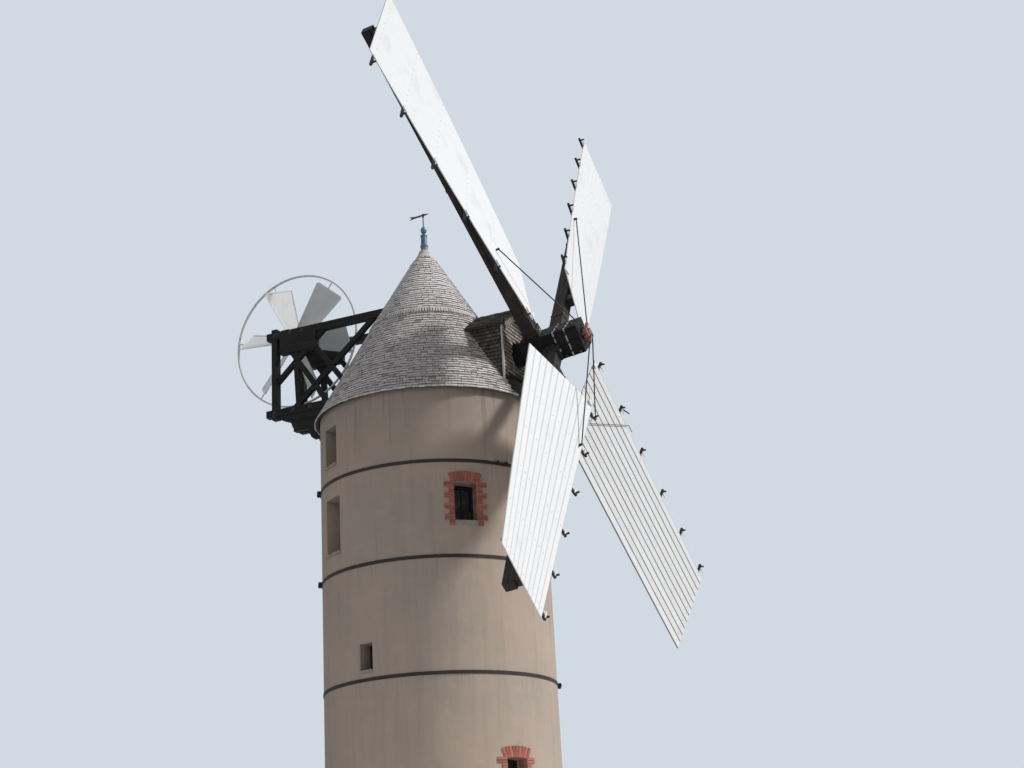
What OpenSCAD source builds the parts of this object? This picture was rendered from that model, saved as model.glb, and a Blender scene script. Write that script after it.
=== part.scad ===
// Tower mill with four board sails, a shingled cap and a fantail on a rear gallery.
// Units are millimetres, Z is up, the origin is the centre of the tower's foot, the sails face -Y.

/* [Tower] */
// height of the masonry from the foot to the wall top
tower_h = 9850; // [9500:50:9900]
// outer radius at the foot
foot_r = 2500; // [2490:5:2530]
// outer radius at the wall top
head_r = 2490; // [2460:5:2495]
// wall thickness on the ground floor
wall_t = 700; // [650:10:750]
// width of the ledge that carries each upper floor
ledge = 60; // [50:5:65]
// thickness of each upper floor
floor_t = 120; // [90:10:140]

/* [Windows] */
// clear width of the brick-framed windows
brick_win_w = 500; // [440:10:560]
// clear height of the brick-framed windows
brick_win_h = 830; // [760:10:880]
// length of the long quoin bricks
quoin_long = 215; // [190:5:240]
// length of the short quoin bricks
quoin_short = 115; // [100:5:140]
// height of one step of the toothed quoins, two thin courses of brick
course_h = 118; // [110:2:126]
// depth of the brick frames in the wall
brick_depth = 230; // [180:10:260]

/* [Cap] */
// outer radius of the cap at the eaves
eave_r = 2600; // [2590:5:2650]
// rise of the cap's cone above the eaves
cone_rise = 4400; // [4300:10:4500]
// rise of the upright band of shingles above the eaves
band_rise = 2310; // [2290:5:2340]
// horizontal thickness of the boarded and shingled roof
roof_t = 71; // [60:1:80]

/* [Dormer] */
// half width of the shaft dormer
dormer_half = 800; // [780:5:820]
// distance of the dormer's face in front of the tower axis
dormer_face = 2225; // [2210:5:2240]
// rise of the dormer's eaves above the cap's eaves
dormer_eave = 1755; // [1730:5:1780]
// rise of the dormer's ridge above the cap's eaves
dormer_ridge = 2290; // [2270:5:2300]

/* [Gallery] */
// distance of each gallery side from the cap's middle plane
side_x = 600; // [590:5:620]
// thickness of the gallery beams
side_w = 160; // [140:5:170]
// distance of the end posts behind the tower axis
post_y = 3710; // [3690:5:3730]
// rise of the gallery's lower beams above the eaves
sheer_rise = 650; // [630:5:670]
// rise of the gallery's upper beams above the eaves
beam_rise = 2565; // [2550:5:2590]

/* [Rotor] */
// distance of the inner stock in front of the tower axis
hub_y = 2785; // [2775:1:2800]
// rise of the inner stock's centre above the eaves
hub_rise = 1240; // [1230:1:1250]
// upward tilt of the windshaft
shaft_tilt = 7.0; // [6.8:0.1:7.2]
// angle at which the sails are parked
park = 52.9; // [0:0.1:89]
// distance between the two stocks along the shaft
stock_gap = 372; // [365:1:380]
// length of each stock from its centre to its tip
stock_reach = 8150; // [8100:10:8250]
// number of boards in a sail
boards = 11; // [9:1:12]
// thickness of a sail board
board_t = 20; // [18:1:24]

/* [Fantail] */
// rise of the fan's axle above the eaves
fan_rise = 2720; // [2710:1:2730]
// distance of the fan's axle behind the tower axis
fan_y = 3512; // [3505:1:3520]
// outer radius of the fan's ring
fan_r = 1660; // [1640:1:1670]
// pitch of the fan's blades
fan_pitch = 42; // [30:1:50]

/* [Hidden] */
$fn = 240;
seat = 0.3;
// tower levels
floor_z = [0.2944 * tower_h, 0.5685 * tower_h, 0.8223 * tower_h];
hoop_z = [0.83 * tower_h, 0.6229 * tower_h, 0.3807 * tower_h];
inner_r = foot_r - wall_t;
wall_angles = [-157, -97, -37, 23, 83, 133, 203];
// windows as azimuth, sill height, clear width, clear height, with brick (1) or plain (0)
main_win = [-137.7, floor_z[1] + 1290, brick_win_w, brick_win_h, 1];
low_win = [-117.3, 1240, brick_win_w, brick_win_h, 1];
rear_win = [42.3, floor_z[1] + 1290, brick_win_w, brick_win_h, 1];
small_win = [169.9, floor_z[0] + 1000, 330, 600, 0];
small_rear_win = [-10, floor_z[0] + 1000, 330, 600, 0];
left_low_win = [145.9, floor_z[1] + 940, 640, 1260, 0];
left_high_win = [144.8, floor_z[2] + 400, 540, 900, 0];
windows = [main_win, low_win, rear_win, small_win, small_rear_win, left_low_win, left_high_win];
door_az = 62.2;
door_w = 950;
door_h = 1950;
frame_depth = 280;
frame_t = 60;
bar_w = 45;
pane_t = 8;
arch_r = 1240;
arch_h = 225;
reach = 400;
// hoop lugs as hoop number and azimuth
lugs = [[0, -118], [0, 122], [1, 122], [2, -64]];
// cap levels
eave_z = tower_h - 50;
cone_top = eave_z + cone_rise;
band_z = eave_z + band_rise;
finial_z = cone_top - 420;
vane_z = finial_z + 1130;
ridge_z = eave_z + dormer_ridge;
sheer_z = eave_z + sheer_rise;
sheer_h = 170;
beam_z = eave_z + beam_rise;
beam_h = 175;
hub_z = eave_z + hub_rise;
fan_z = eave_z + fan_rise;
top_lap = 25;
board_wall = 60;
curb_h = 120;
ring_h = 135;
ring_z = tower_h + curb_h + seat;
ring_top = ring_z + ring_h;
bearer_y = 1000;
bearer_w = 200;
// gallery braces between two points, each as part of the post distance and part of the clear height
braces = [[1, 0.36, 0.655, 1], [0.95, 1, 0.633, 0], [0.85, 0, 0.295, 1], [0.78, 1, 0.43, 0]];
block_x = side_x - side_w / 2;
// rotor details
shaft_r = 270;
head_half = 320;
head_front = 1060;
head_back = 330;
stock_half = 150;
arm_t = [0.04, 0.229, 0.42, 0.612, 0.796, 0.973];
stations = concat([0], arm_t, [1]);
arm_depth = 50;
arm_half = 25;
arm_gap = 0.9;
arm_out = 0.11;
// turn of each sail about its stock at the heel and at the tip
heel_wedge = [-2.4, -1.3, 4.3, -2.0];
tip_wedge = [-6.7, 1.9, 15.9, -9.6];
rod_end = [[0.21, 0.229], [0.06, 0.39], [0.46, 0.1], [0.05, 0.229]];
// fantail details
boss_r = 110;
axle_r = 35;
finial_r = 87;

function wall_r(z) = foot_r + (head_r - foot_r) * z / tower_h;
function cone_r(z) = eave_r * (cone_top - z) / cone_rise;
lap_y = cone_r(sheer_z + sheer_h) - 200;
function mix(a, b, t) = a + (b - a) * t;
function bow(a, m, b, t) = a * (1 - t) * (1 - 2 * t) + 4 * m * t * (1 - t) + b * t * (2 * t - 1);

// Placing helpers
module at_wall(az, z) {
  rotate([0, 0, az]) translate([0, 0, z]) rotate([90, 0, 90]) children();
}
module rotor_frame() {
  translate([0, -hub_y, hub_z]) rotate([-shaft_tilt, 0, 0]) children();
}
module rod(a, b, r) {
  d = b - a;
  l = norm(d);
  translate(a) rotate([0, acos(d[2] / l), atan2(d[1], d[0])]) cylinder(r = r, h = l, $fn = 10);
}
module wedge(a0, a1, r, z0, z1) {
  translate([0, 0, z0]) linear_extrude(height = z1 - z0)
    polygon(concat([[0, 0]], [for (f = [0 : 0.25 : 1])
      let(q = f == 0 || f == 1 ? r : r * 1.2) [q * cos(mix(a0, a1, f)), q * sin(mix(a0, a1, f))]]));
}
module cap_solid(off = 0) {
  translate([0, 0, eave_z - reach])
    cylinder(r1 = cone_r(eave_z - reach) + off, r2 = cone_r(band_z) + off, h = band_rise + reach);
  translate([0, 0, band_z]) cylinder(r1 = cone_r(band_z) + top_lap + off, r2 = off, h = cone_top - band_z);
}

// Tower wall
module wall_profile() {
  r1 = inner_r + ledge;
  r2 = inner_r + 2 * ledge;
  r3 = inner_r + 3 * ledge;
  under = [floor_z[0] - floor_t, floor_z[1] - floor_t, floor_z[2] - floor_t];
  polygon([[inner_r, 0], [foot_r, 0], [head_r, tower_h], [r3, tower_h], [r3, under[2]], [r2, under[2]],
    [r2, under[1]], [r1, under[1]], [r1, under[0]], [inner_r, under[0]]]);
}
module brick_shape(w, h) {
  for (k = [1 : round((h + 60) / course_h)]) {
    x = w / 2 + (k % 2 == 1 ? quoin_long : quoin_short);
    low = h - k * course_h;
    high = h - (k - 1) * course_h;
    polygon([[-x, low], [x, low], [x, high], [-x, high]]);
  }
  intersection() {
    translate([0, h + arch_h - arch_r - 10]) circle(r = arch_r);
    polygon([[-w / 2 - 60, h - 50], [w / 2 + 60, h - 50], [w / 2 + 180, h + 400], [-w / 2 - 180, h + 400]]);
  }
}
module opening_shape(w, h) {
  intersection() {
    translate([-w / 2, 0]) square([w, h]);
    translate([0, h - arch_r]) circle(r = arch_r);
  }
}
module brick_pocket(az, sill, w, h) {
  difference() {
    at_wall(az, sill) translate([0, 0, inner_r]) linear_extrude(height = wall_t + reach) brick_shape(w, h);
    translate([0, 0, sill - reach]) cylinder(r = wall_r(sill) - brick_depth, h = h + 3 * reach);
  }
}
module window_hole(win) {
  at_wall(win[0], win[1]) translate([0, 0, inner_r - reach]) linear_extrude(height = wall_t + 2 * reach)
    if (win[4] == 1) opening_shape(win[2], win[3]); else translate([-win[2] / 2, 0]) square([win[2], win[3]]);
}
module door_hole() {
  window_hole([door_az, 0, door_w, door_h, 1]);
}
function turned(a) = a < wall_angles[0] ? a + 360 : a;
function inside_part(a, k) = turned(a) > wall_angles[k] && turned(a) < wall_angles[k + 1];
module wall_part(k) {
  color([0.7, 0.65, 0.58]) difference() {
    intersection() {
      rotate_extrude() wall_profile();
      wedge(wall_angles[k], wall_angles[k + 1], 1.4 * foot_r, -1, tower_h + 1);
    }
    for (win = windows)
      if (inside_part(win[0], k)) {
        window_hole(win);
        if (win[4] == 1) brick_pocket(win[0], win[1], win[2], win[3]);
      }
    if (inside_part(door_az, k)) {
      door_hole();
      brick_pocket(door_az, 0, door_w, door_h);
    }
  }
}
module wall_front_left() { wall_part(0); }
module wall_front_right() { wall_part(1); }
module wall_right() { wall_part(2); }
module wall_rear_right() { wall_part(3); }
module wall_rear() { wall_part(4); }
module wall_left() { wall_part(5); }

module ground_floor() {
  color([0.6, 0.57, 0.52]) cylinder(r = inner_r - seat, h = 60);
}
module upper_floors() {
  color([0.45, 0.33, 0.22])
    for (k = [0 : 2]) translate([0, 0, floor_z[k] - floor_t])
      cylinder(r = inner_r + (k + 1) * ledge - 5, h = floor_t);
}
module iron_hoops() {
  hoop_t = 14;
  hoop_h = 70;
  lug_l = 70;
  color([0.16, 0.14, 0.13]) {
    for (z = hoop_z) translate([0, 0, z - hoop_h / 2]) difference() {
      cylinder(r = wall_r(z) + hoop_t, h = hoop_h);
      cylinder(r1 = wall_r(z - hoop_h / 2) + seat, r2 = wall_r(z + hoop_h / 2) + seat, h = hoop_h);
    }
    for (lug = lugs) {
      z = hoop_z[lug[0]];
      for (s = [-1, 1]) rotate([0, 0, lug[1] + s * 2.2]) translate([wall_r(z) + hoop_t - 1, -12, z - 45])
        cube([lug_l, 24, 90]);
      rotate([0, 0, lug[1]]) translate([wall_r(z) + 55, -170, z]) rotate([-90, 0, 0])
        cylinder(r = 12, h = 340, $fn = 12);
    }
  }
}
module brick_frame(az, sill, w, h) {
  low = max(0, sill - reach);
  difference() {
    intersection() {
      brick_pocket(az, sill, w, h);
      translate([0, 0, low])
        cylinder(r1 = wall_r(low) + 8, r2 = wall_r(sill + h + reach) + 8, h = sill - low + h + reach);
    }
    window_hole([az, sill, w, h, 1]);
  }
}
module brick_surrounds() {
  color([0.72, 0.33, 0.25]) {
    for (win = windows) if (win[4] == 1) brick_frame(win[0], win[1], win[2], win[3]);
    brick_frame(door_az, 0, door_w, door_h);
  }
}
module stone_sills() {
  color([0.7, 0.68, 0.62])
    for (win = windows) if (win[4] == 0)
      at_wall(win[0], win[1]) translate([0, 0, wall_r(win[1]) - 160]) linear_extrude(height = 190)
        translate([-win[2] / 2 + seat, seat]) square([win[2] - 2 * seat, 50]);
}
function sash_h(win) = win[4] == 1 ? win[3] - 30 : win[3];
module two_lights(w, h) {
  for (x = [bar_w, w / 2 + bar_w / 3]) translate([x, bar_w]) square([w / 2 - bar_w * 4 / 3, h - 2 * bar_w]);
}
module window_frames() {
  color([0.35, 0.24, 0.17])
    for (win = windows)
      at_wall(win[0], win[1]) translate([-win[2] / 2, 0, wall_r(win[1]) - frame_depth - 2 * frame_t])
        linear_extrude(height = frame_t) difference() {
          square([win[2], sash_h(win)]);
          two_lights(win[2], sash_h(win));
        }
}
module window_panes() {
  color([0.2, 0.24, 0.27])
    for (win = windows)
      at_wall(win[0], win[1]) translate([-win[2] / 2, 0, wall_r(win[1]) - frame_depth - 1.5 * frame_t])
        linear_extrude(height = pane_t) two_lights(win[2], sash_h(win));
}
module door() {
  color([0.3, 0.22, 0.16])
    at_wall(door_az, 0) translate([0, 0, wall_r(0) - frame_depth - frame_t]) linear_extrude(height = 50)
      intersection() {
        opening_shape(door_w, door_h);
        translate([-door_w / 2, 60]) square([door_w, door_h]);
      }
}
module curb_ring() {
  color([0.25, 0.19, 0.14]) translate([0, 0, tower_h]) difference() {
    cylinder(r = head_r - 90, h = curb_h);
    translate([0, 0, -1]) cylinder(r = inner_r + 3 * ledge + 70, h = curb_h + 2);
  }
}

// Cap
module cap_ring() {
  color([0.25, 0.19, 0.14]) translate([0, 0, ring_z]) difference() {
    cylinder(r = cone_r(ring_top) - roof_t - seat, h = ring_h);
    translate([0, 0, -1]) cylinder(r = inner_r + 2 * ledge, h = ring_h + 2);
  }
}
module shaft_space(r) {
  rotor_frame() rotate([-90, 0, 0]) translate([0, 0, -reach]) cylinder(r = r, h = 2 * hub_y);
}
module cap_frame() {
  bearer_half = sqrt(pow(cone_r(sheer_z) - roof_t - 20, 2) - pow(bearer_y + bearer_w / 2, 2));
  front_y = dormer_face - board_wall - 15;
  color([0.2, 0.16, 0.13]) difference() {
    union() {
      for (s = [-1, 1]) translate([s * side_x - side_w / 2, 100 - front_y, sheer_z])
        cube([side_w, front_y - 100 + lap_y, sheer_h]);
      for (s = [-1, 1]) translate([-bearer_half, s * bearer_y - bearer_w / 2, ring_top])
        cube([2 * bearer_half, bearer_w, sheer_z - ring_top]);
      translate([-side_x - side_w / 2, -front_y, sheer_z - 150]) cube([2 * side_x + side_w, bearer_w, 500]);
      translate([-side_x - side_w / 2, bearer_y, sheer_z - 150]) cube([2 * side_x + side_w, bearer_w, 400]);
    }
    shaft_space(shaft_r + seat);
  }
}
module roof_shell() {
  r = cone_r(band_z);
  difference() {
    translate([0, 0, eave_z]) cylinder(r1 = eave_r, r2 = r, h = band_rise);
    translate([0, 0, eave_z]) cylinder(r1 = eave_r - roof_t, r2 = r - roof_t, h = band_rise);
    translate([board_wall - dormer_half, -eave_r, sheer_z - 150])
      cube([2 * (dormer_half - board_wall), eave_r, dormer_eave - 555]);
    for (s = [-1, 1]) translate([s * side_x - side_w / 2 - 1, 0.5 * eave_r, sheer_z - 1])
      cube([side_w + 2, eave_r, sheer_h + 2]);
  }
}
module roof_half(s) {
  color([0.6, 0.57, 0.53]) intersection() {
    roof_shell();
    translate([s > 0 ? 0 : -eave_r - 1, -eave_r - 1, eave_z - 1])
      cube([eave_r + 1, 2 * eave_r + 2, cone_rise]);
  }
}
module cap_roof_left() { roof_half(-1); }
module cap_roof_right() { roof_half(1); }
module cap_roof_top() {
  r = cone_r(band_z);
  h = finial_z - band_z;
  color([0.6, 0.57, 0.53]) translate([0, 0, band_z]) difference() {
    cylinder(r1 = r + top_lap, r2 = (r + top_lap) * (cone_top - finial_z) / (cone_top - band_z), h = h);
    translate([0, 0, -1]) cylinder(r1 = r - roof_t, r2 = 60, h = h - 200);
  }
}
module finial() {
  color([0.7, 0.71, 0.72]) translate([0, 0, finial_z]) rotate_extrude()
    polygon([[0, 0], [cone_r(finial_z) + 10, 0], [170, 60], [115, 140], [finial_r + 12, 160],
      [finial_r + 12, 195], [finial_r, 205], [80, 365], [92, 372], [92, 402], [76, 410], [70, 622],
      [82, 632], [82, 664], [40, 678], [30, 705], [60, 738],
      [72, 795], [60, 850], [25, 880], [14, 900], [14, 1165], [0, 1165]]);
}
function under_roof(x) = ridge_z - board_wall - seat - x * (dormer_ridge - dormer_eave) / dormer_half;
module dormer_left_cheek() { dormer_cheek(-1); }
module dormer_right_cheek() { dormer_cheek(1); }
module dormer_cheek(s) {
  x0 = dormer_half - board_wall;
  color([0.5, 0.48, 0.45]) difference() {
    rotate([90, 0, 0]) linear_extrude(height = dormer_face)
      polygon([[s * x0, eave_z], [s * dormer_half, eave_z], [s * dormer_half, under_roof(dormer_half)],
        [s * x0, under_roof(x0)]]);
    cap_solid(seat);
  }
}
module dormer_front() {
  x0 = dormer_half - board_wall;
  color([0.5, 0.48, 0.45]) difference() {
    translate([0, board_wall - dormer_face, 0]) rotate([90, 0, 0]) linear_extrude(height = board_wall)
      polygon([[-x0, eave_z], [x0, eave_z], [x0, under_roof(x0)], [0, under_roof(0)], [-x0, under_roof(x0)]]);
    cap_solid(seat);
    shaft_space(shaft_r + 40);
  }
}
module dormer_roof() {
  w = dormer_half + 70;
  low = under_roof(w) + seat;
  color([0.55, 0.52, 0.48]) difference() {
    rotate([90, 0, 0]) linear_extrude(height = dormer_face + 70)
      polygon([[0, ridge_z], [w, low + board_wall], [w, low], [0, ridge_z - board_wall], [-w, low],
        [-w, low + board_wall]]);
    cap_solid(seat);
  }
}
module corner_strips() {
  strip_w = 75;
  strip_t = 12;
  strip_z = eave_z + 350;
  strip_h = under_roof(dormer_half + strip_t + 1) - strip_z;
  color([0.75, 0.76, 0.77]) difference() {
    for (s = [-1, 1]) translate([s * dormer_half, 0, strip_z]) mirror([s < 0 ? 1 : 0, 0, 0]) {
      translate([-strip_w, -dormer_face - strip_t - seat, 0])
        cube([strip_w + strip_t + seat, strip_t, strip_h]);
      translate([seat, -dormer_face - seat - 1, 0]) cube([strip_t, strip_w, strip_h]);
    }
    cap_solid(seat);
  }
}

// Gallery behind the cap
module bar(a, b, w) {
  d = b - a;
  translate(a) rotate(atan2(d[1], d[0])) translate([-60, -w / 2]) square([norm(d) + 120, w]);
}
module side_slab(x0, x1) {
  translate([x0, 0, 0]) rotate([90, 0, 90]) linear_extrude(height = x1 - x0) children();
}
function brace_point(y, f) = [y * post_y, mix(sheer_z + sheer_h, beam_z, f)];
module truss(s) {
  x = s * side_x;
  post_w = 150;
  brace_w = 115;
  box_h = 405;
  color([0.13, 0.12, 0.12]) difference() {
    union() {
      side_slab(x - side_w / 2, x + side_w / 2) {
        translate([0, beam_z]) square([post_y + 210, beam_h]);
        translate([lap_y + seat, sheer_z]) square([post_y + 228 - lap_y, sheer_h]);
        translate([post_y - post_w / 2, sheer_z - 70]) square([post_w, beam_z + beam_h + 150 - sheer_z]);
        translate([0.695 * post_y, beam_z - box_h]) square([0.265 * post_y, box_h]);
      }
      side_slab(x - 50, x + 50) {
        bar([0.83 * post_y, sheer_z + sheer_h], [0.855 * post_y, beam_z], 130);
        for (b = braces) bar(brace_point(b[0], b[1]), brace_point(b[2], b[3]), brace_w);
      }
    }
    difference() {
      cap_solid(seat);
      translate([x - side_w / 2 - 1, lap_y + seat, sheer_z - 1]) cube([side_w + 2, eave_r, sheer_h + 2]);
    }
  }
}
module gallery_truss_left() { truss(-1); }
module gallery_truss_right() { truss(1); }
module gallery_brackets() {
  color([0.13, 0.12, 0.12]) difference() {
    for (s = [-1, 1]) side_slab(s * side_x - 60, s * side_x + 60) translate([post_y - 100, sheer_z])
      polygon([[-1500, 0], [24, 0], [24, -70], [0, -70], [-140, -135], [-280, -185], [-330, -225],
        [-380, -355], [-480, -425], [-600, -445], [-700, -435], [-780, -455], [-820, -555], [-870, -655],
        [-920, -700], [-1500, -700]]);
    cap_solid(seat);
  }
}
module gallery_floor() {
  plank = 195;
  start = cone_r(sheer_z) + 60;
  count = floor((post_y - 80 - start) / (plank + 10));
  color([0.2, 0.18, 0.16])
    for (k = [0 : count - 1]) translate([side_w / 2 - side_x, start + k * (plank + 10), sheer_z + 20])
      cube([2 * side_x - side_w, plank, 40]);
}
module fan_bearings() {
  color([0.15, 0.14, 0.14]) difference() {
    for (s = [0, 1]) mirror([s, 0, 0]) translate([block_x - 100, fan_y - 110, fan_z - 150])
      cube([100, 220, 260]);
    translate([-side_x, fan_y, fan_z]) rotate([0, 90, 0])
      cylinder(r = axle_r + seat, h = 2 * side_x, $fn = 48);
  }
}
module weathervane() {
  color([0.2, 0.2, 0.22]) translate([0, 0, vane_z]) difference() {
    union() {
      cylinder(r = 22, h = 90);
      translate([-3, 0, 45]) rotate([90, 0, 90]) linear_extrude(height = 6)
        polygon([[-165, 22], [-60, 38], [60, 34], [210, 25], [375, 45], [300, 0], [365, -42], [200, -20],
          [60, -12], [-60, -4]]);
    }
    translate([0, 0, -1]) cylinder(r = 14 + seat, h = 70);
  }
}

// Fantail
module fan_hub() {
  color([0.2, 0.2, 0.2]) translate([0, fan_y, fan_z]) rotate([0, 90, 0]) {
    translate([0, 0, 5 - block_x]) cylinder(r = axle_r, h = 2 * block_x - 10, $fn = 48);
    translate([0, 0, -70]) cylinder(r = boss_r, h = 140, $fn = 48);
  }
}
module fan_rim() {
  spoke_r = 14;
  color([0.75, 0.75, 0.74]) translate([0, fan_y, fan_z]) {
    rotate([0, 90, 0]) translate([0, 0, -20]) difference() {
      cylinder(r = fan_r, h = 40);
      translate([0, 0, -1]) cylinder(r = fan_r - 14, h = 42);
    }
    for (k = [0 : 5]) rotate([8 + 60 * k, 0, 0]) translate([0, boss_r + seat, 0]) rotate([-90, 0, 0])
      cylinder(r = spoke_r, h = fan_r - 7 - boss_r, $fn = 12);
  }
}
module fan_blades() {
  color([0.9, 0.9, 0.88]) translate([0, fan_y, fan_z])
    for (k = [0 : 5]) rotate([8 + 60 * k, 0, 0]) rotate([0, fan_pitch, 0])
      translate([14 + seat, 0, 0]) rotate([90, 0, 90]) linear_extrude(height = 10) scale(fan_r)
        polygon([[0.2, -0.085], [0.24, 0.1], [0.89, 0.21], [0.955, 0.03], [0.76, -0.19]]);
}

// Rotor
module windshaft() {
  color([0.14, 0.12, 0.11]) rotor_frame() difference() {
    union() {
      rotate([0, park, 0]) translate([-head_half, -head_front, -head_half])
        cube([2 * head_half, head_front + head_back, 2 * head_half]);
      translate([0, head_back - 1, 0]) rotate([-90, 0, 0])
        cylinder(r = shaft_r, h = hub_y + bearer_y + 0.8 * bearer_w - head_back);
    }
    rotate([0, -park, 0]) stock_hole(0);
    rotate([0, 90 - park, 0]) stock_hole(-stock_gap);
  }
}
module stock_hole(y) {
  half = stock_half + 1;
  translate([-half, y - half, -2 * reach]) cube([2 * half, 2 * half, 4 * reach]);
}
module stock(y) {
  color([0.12, 0.11, 0.1]) translate([0, y, 0]) for (s = [0, 180]) rotate([0, s, 0])
    linear_extrude(height = stock_reach, scale = [0.66, 0.8], slices = 1)
      translate([-stock_half, -stock_half]) square(2 * stock_half);
}
module stock_a() { rotor_frame() rotate([0, -park, 0]) stock(0); }
module stock_b() { rotor_frame() rotate([0, 90 - park, 0]) stock(-stock_gap); }
function stock_y(z) = stock_half * mix(1, 0.8, z / stock_reach);

// A sail's surface: u runs from the hook edge (0) to the free edge (1), t from heel (0) to tip (1);
// the boards twist along the stock and bow outwards in the middle
function hook_x(t) = -bow(1004, 990, 937, t);
function free_x(t) = bow(1096, 1162, 1161, t);
function hook_y(t) = -bow(603, 440, 330, t);
function free_y(t) = -bow(56, 149, 222, t);
function heel_z(u) = mix(1284, 1620, u);
function tip_z(u) = stock_reach + mix(-122, 182, u);
function surf(u, t) =
  [mix(hook_x(t), free_x(t), u), mix(hook_y(t), free_y(t), u), mix(heel_z(u), tip_z(u), t)];
function sail_a(t) = atan2(free_y(t) - hook_y(t), free_x(t) - hook_x(t));
function back(t) = [-sin(sail_a(t)), cos(sail_a(t)), 0];
function turned_xy(p, a) = [p[0] * cos(a) - p[1] * sin(a), p[0] * sin(a) + p[1] * cos(a), p[2]];
function wedge_at(k, t) = mix(heel_wedge[k], tip_wedge[k], t);
function deep(k, u, t, d) = turned_xy(surf(u, t) + d * back(t), wedge_at(k, t));
// way along the boards at a point, seen in the frame of the arm at that height
function rise_at(k, u, t) = turned_xy(surf(u, t + 0.01), wedge_at(k, t + 0.01) - wedge_at(k, t))
  - turned_xy(surf(u, t - 0.01), wedge_at(k, t - 0.01) - wedge_at(k, t));
// solid skinned over a row of four-sided sections
module skin(rows) {
  e = 4 * (len(rows) - 1);
  sides = [for (j = [0 : len(rows) - 2]) for (q = [0 : 3])
    each let(a = 4 * j + q, b = 4 * j + (q + 1) % 4) [[a, b, a + 4], [b, b + 4, a + 4]]];
  polyhedron(points = [for (row = rows) each row],
    faces = concat(sides, [[0, 2, 1], [0, 3, 2], [e, e + 1, e + 2], [e, e + 2, e + 3]]));
}
module board(k, j) {
  joint = 0.025;
  u0 = (j + joint) / boards;
  u1 = (j + 1 - joint) / boards;
  skin([for (t = stations) [deep(k, u0, t, 0), deep(k, u1, t, 0), deep(k, u1, t, board_t),
    deep(k, u0, t, board_t)]]);
}
module sail_place(k) {
  y = k % 2 == 0 ? 0 : -stock_gap;
  rotor_frame() rotate([0, -park + 90 * k, 0]) translate([0, y, 0]) children();
}
module sail(k) {
  color([0.93, 0.93, 0.91]) sail_place(k) for (j = [0 : boards - 1]) board(k, j);
}
module sail_boards_1() { sail(0); }
module sail_boards_2() { sail(1); }
module sail_boards_3() { sail(2); }
module sail_boards_4() { sail(3); }
function mid_u(t) = -hook_x(t) / (free_x(t) - hook_x(t));
module on_sail(u, t) {
  translate(surf(u, t)) rotate([0, 0, sail_a(t)]) children();
}
// half of an arm: a straight bar along the boards' ruling, tipped to lie on their backs
module half_arm(k, u0, u1, t) {
  along = surf(u1, t) - surf(u0, t);
  up = rise_at(k, (u0 + u1) / 2, t);
  on_sail(u0, t) rotate([0, -asin(along[2] / norm(along)), 0]) rotate([-atan2(up * back(t), up[2]), 0, 0])
    translate([0, board_t + arm_gap, -arm_half]) cube([norm(along), arm_depth, 2 * arm_half]);
}
module arm(k, t) {
  turn = wedge_at(k, t);
  z = surf(mid_u(t), t)[2];
  y = surf(mid_u(t), t)[1];
  d1 = board_t + arm_depth;
  rotate([0, 0, turn]) {
    half_arm(k, -arm_out, mid_u(t) + 0.01, t);
    half_arm(k, mid_u(t) - 0.01, 0.97, t);
    on_sail(0.03 - arm_out, t) translate([0, d1 - 5, 0]) rotate([90, 0, 0])
      cylinder(r = 22, h = d1 + 60, $fn = 12);
  }
  difference() {
    translate([-110, y - 60, z - 100]) cube([220, 60 - y - stock_y(z - 100) - seat, 200]);
    rotate([0, 0, turn]) on_sail(mid_u(t), t) translate([-600, board_t + 15 - 600, -300])
      cube([1200, 600, 600]);
  }
}
module sail_arms() {
  color([0.1, 0.1, 0.1]) for (k = [0 : 3]) sail_place(k) for (t = arm_t) arm(k, t);
}
module control_rods() {
  rod_r = 14;
  color([0.12, 0.12, 0.12]) rotor_frame() for (k = [0 : 3]) {
    y = k % 2 == 0 ? 0 : -stock_gap;
    u = rod_end[k][0];
    t = rod_end[k][1];
    up = rise_at(k, u, t);
    tip = turned_xy(surf(u, t) + [0, -60, 0], wedge_at(k, t)) + [0, y, 0];
    root = [-120, -head_front - 120, 195];
    lean = norm([tip[0] - root[0], tip[1] - root[1]]) / norm(tip - root);
    rotate([0, -park + 90 * k, 0]) {
      rod([root[0], root[1], 190 + seat + rod_r * lean], tip, rod_r);
      translate([0, y, 0]) rotate([0, 0, wedge_at(k, t)]) on_sail(u, t)
        rotate([-atan2(up * back(t), up[2]), 0, 0]) translate([-25, -80 - arm_gap, -15]) cube([50, 80, 30]);
    }
  }
}
module hub_linkage() {
  front = -head_front - seat;
  color([0.5, 0.14, 0.1]) rotor_frame() {
    translate([0, front, 0]) rotate([90, 0, 0]) cylinder(r = 60, h = 160);
    for (k = [0 : 3]) rotate([0, -park + 90 * k, 0]) {
      translate([-150, front - 150, -20]) cube([60, 60, 210]);
      translate([-120, front - 90, 60]) cube([30, 90, 30]);
    }
    for (a = [0, 90]) rotate([0, a - park, 0]) translate([-170, front - 90, -25]) cube([340, 40, 50]);
  }
}

wall_front_left();
wall_front_right();
wall_right();
wall_rear_right();
wall_rear();
wall_left();
ground_floor();
upper_floors();
iron_hoops();
brick_surrounds();
stone_sills();
window_frames();
window_panes();
door();
curb_ring();
cap_ring();
cap_frame();
cap_roof_left();
cap_roof_right();
cap_roof_top();
finial();
dormer_left_cheek();
dormer_right_cheek();
dormer_front();
dormer_roof();
corner_strips();
gallery_truss_left();
gallery_truss_right();
gallery_brackets();
gallery_floor();
fan_bearings();
weathervane();
fan_hub();
fan_rim();
fan_blades();
windshaft();
stock_a();
stock_b();
sail_boards_1();
sail_boards_2();
sail_boards_3();
sail_boards_4();
sail_arms();
control_rods();
hub_linkage();
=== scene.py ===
import bpy
import bmesh
import math
from mathutils import Matrix, Vector


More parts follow.
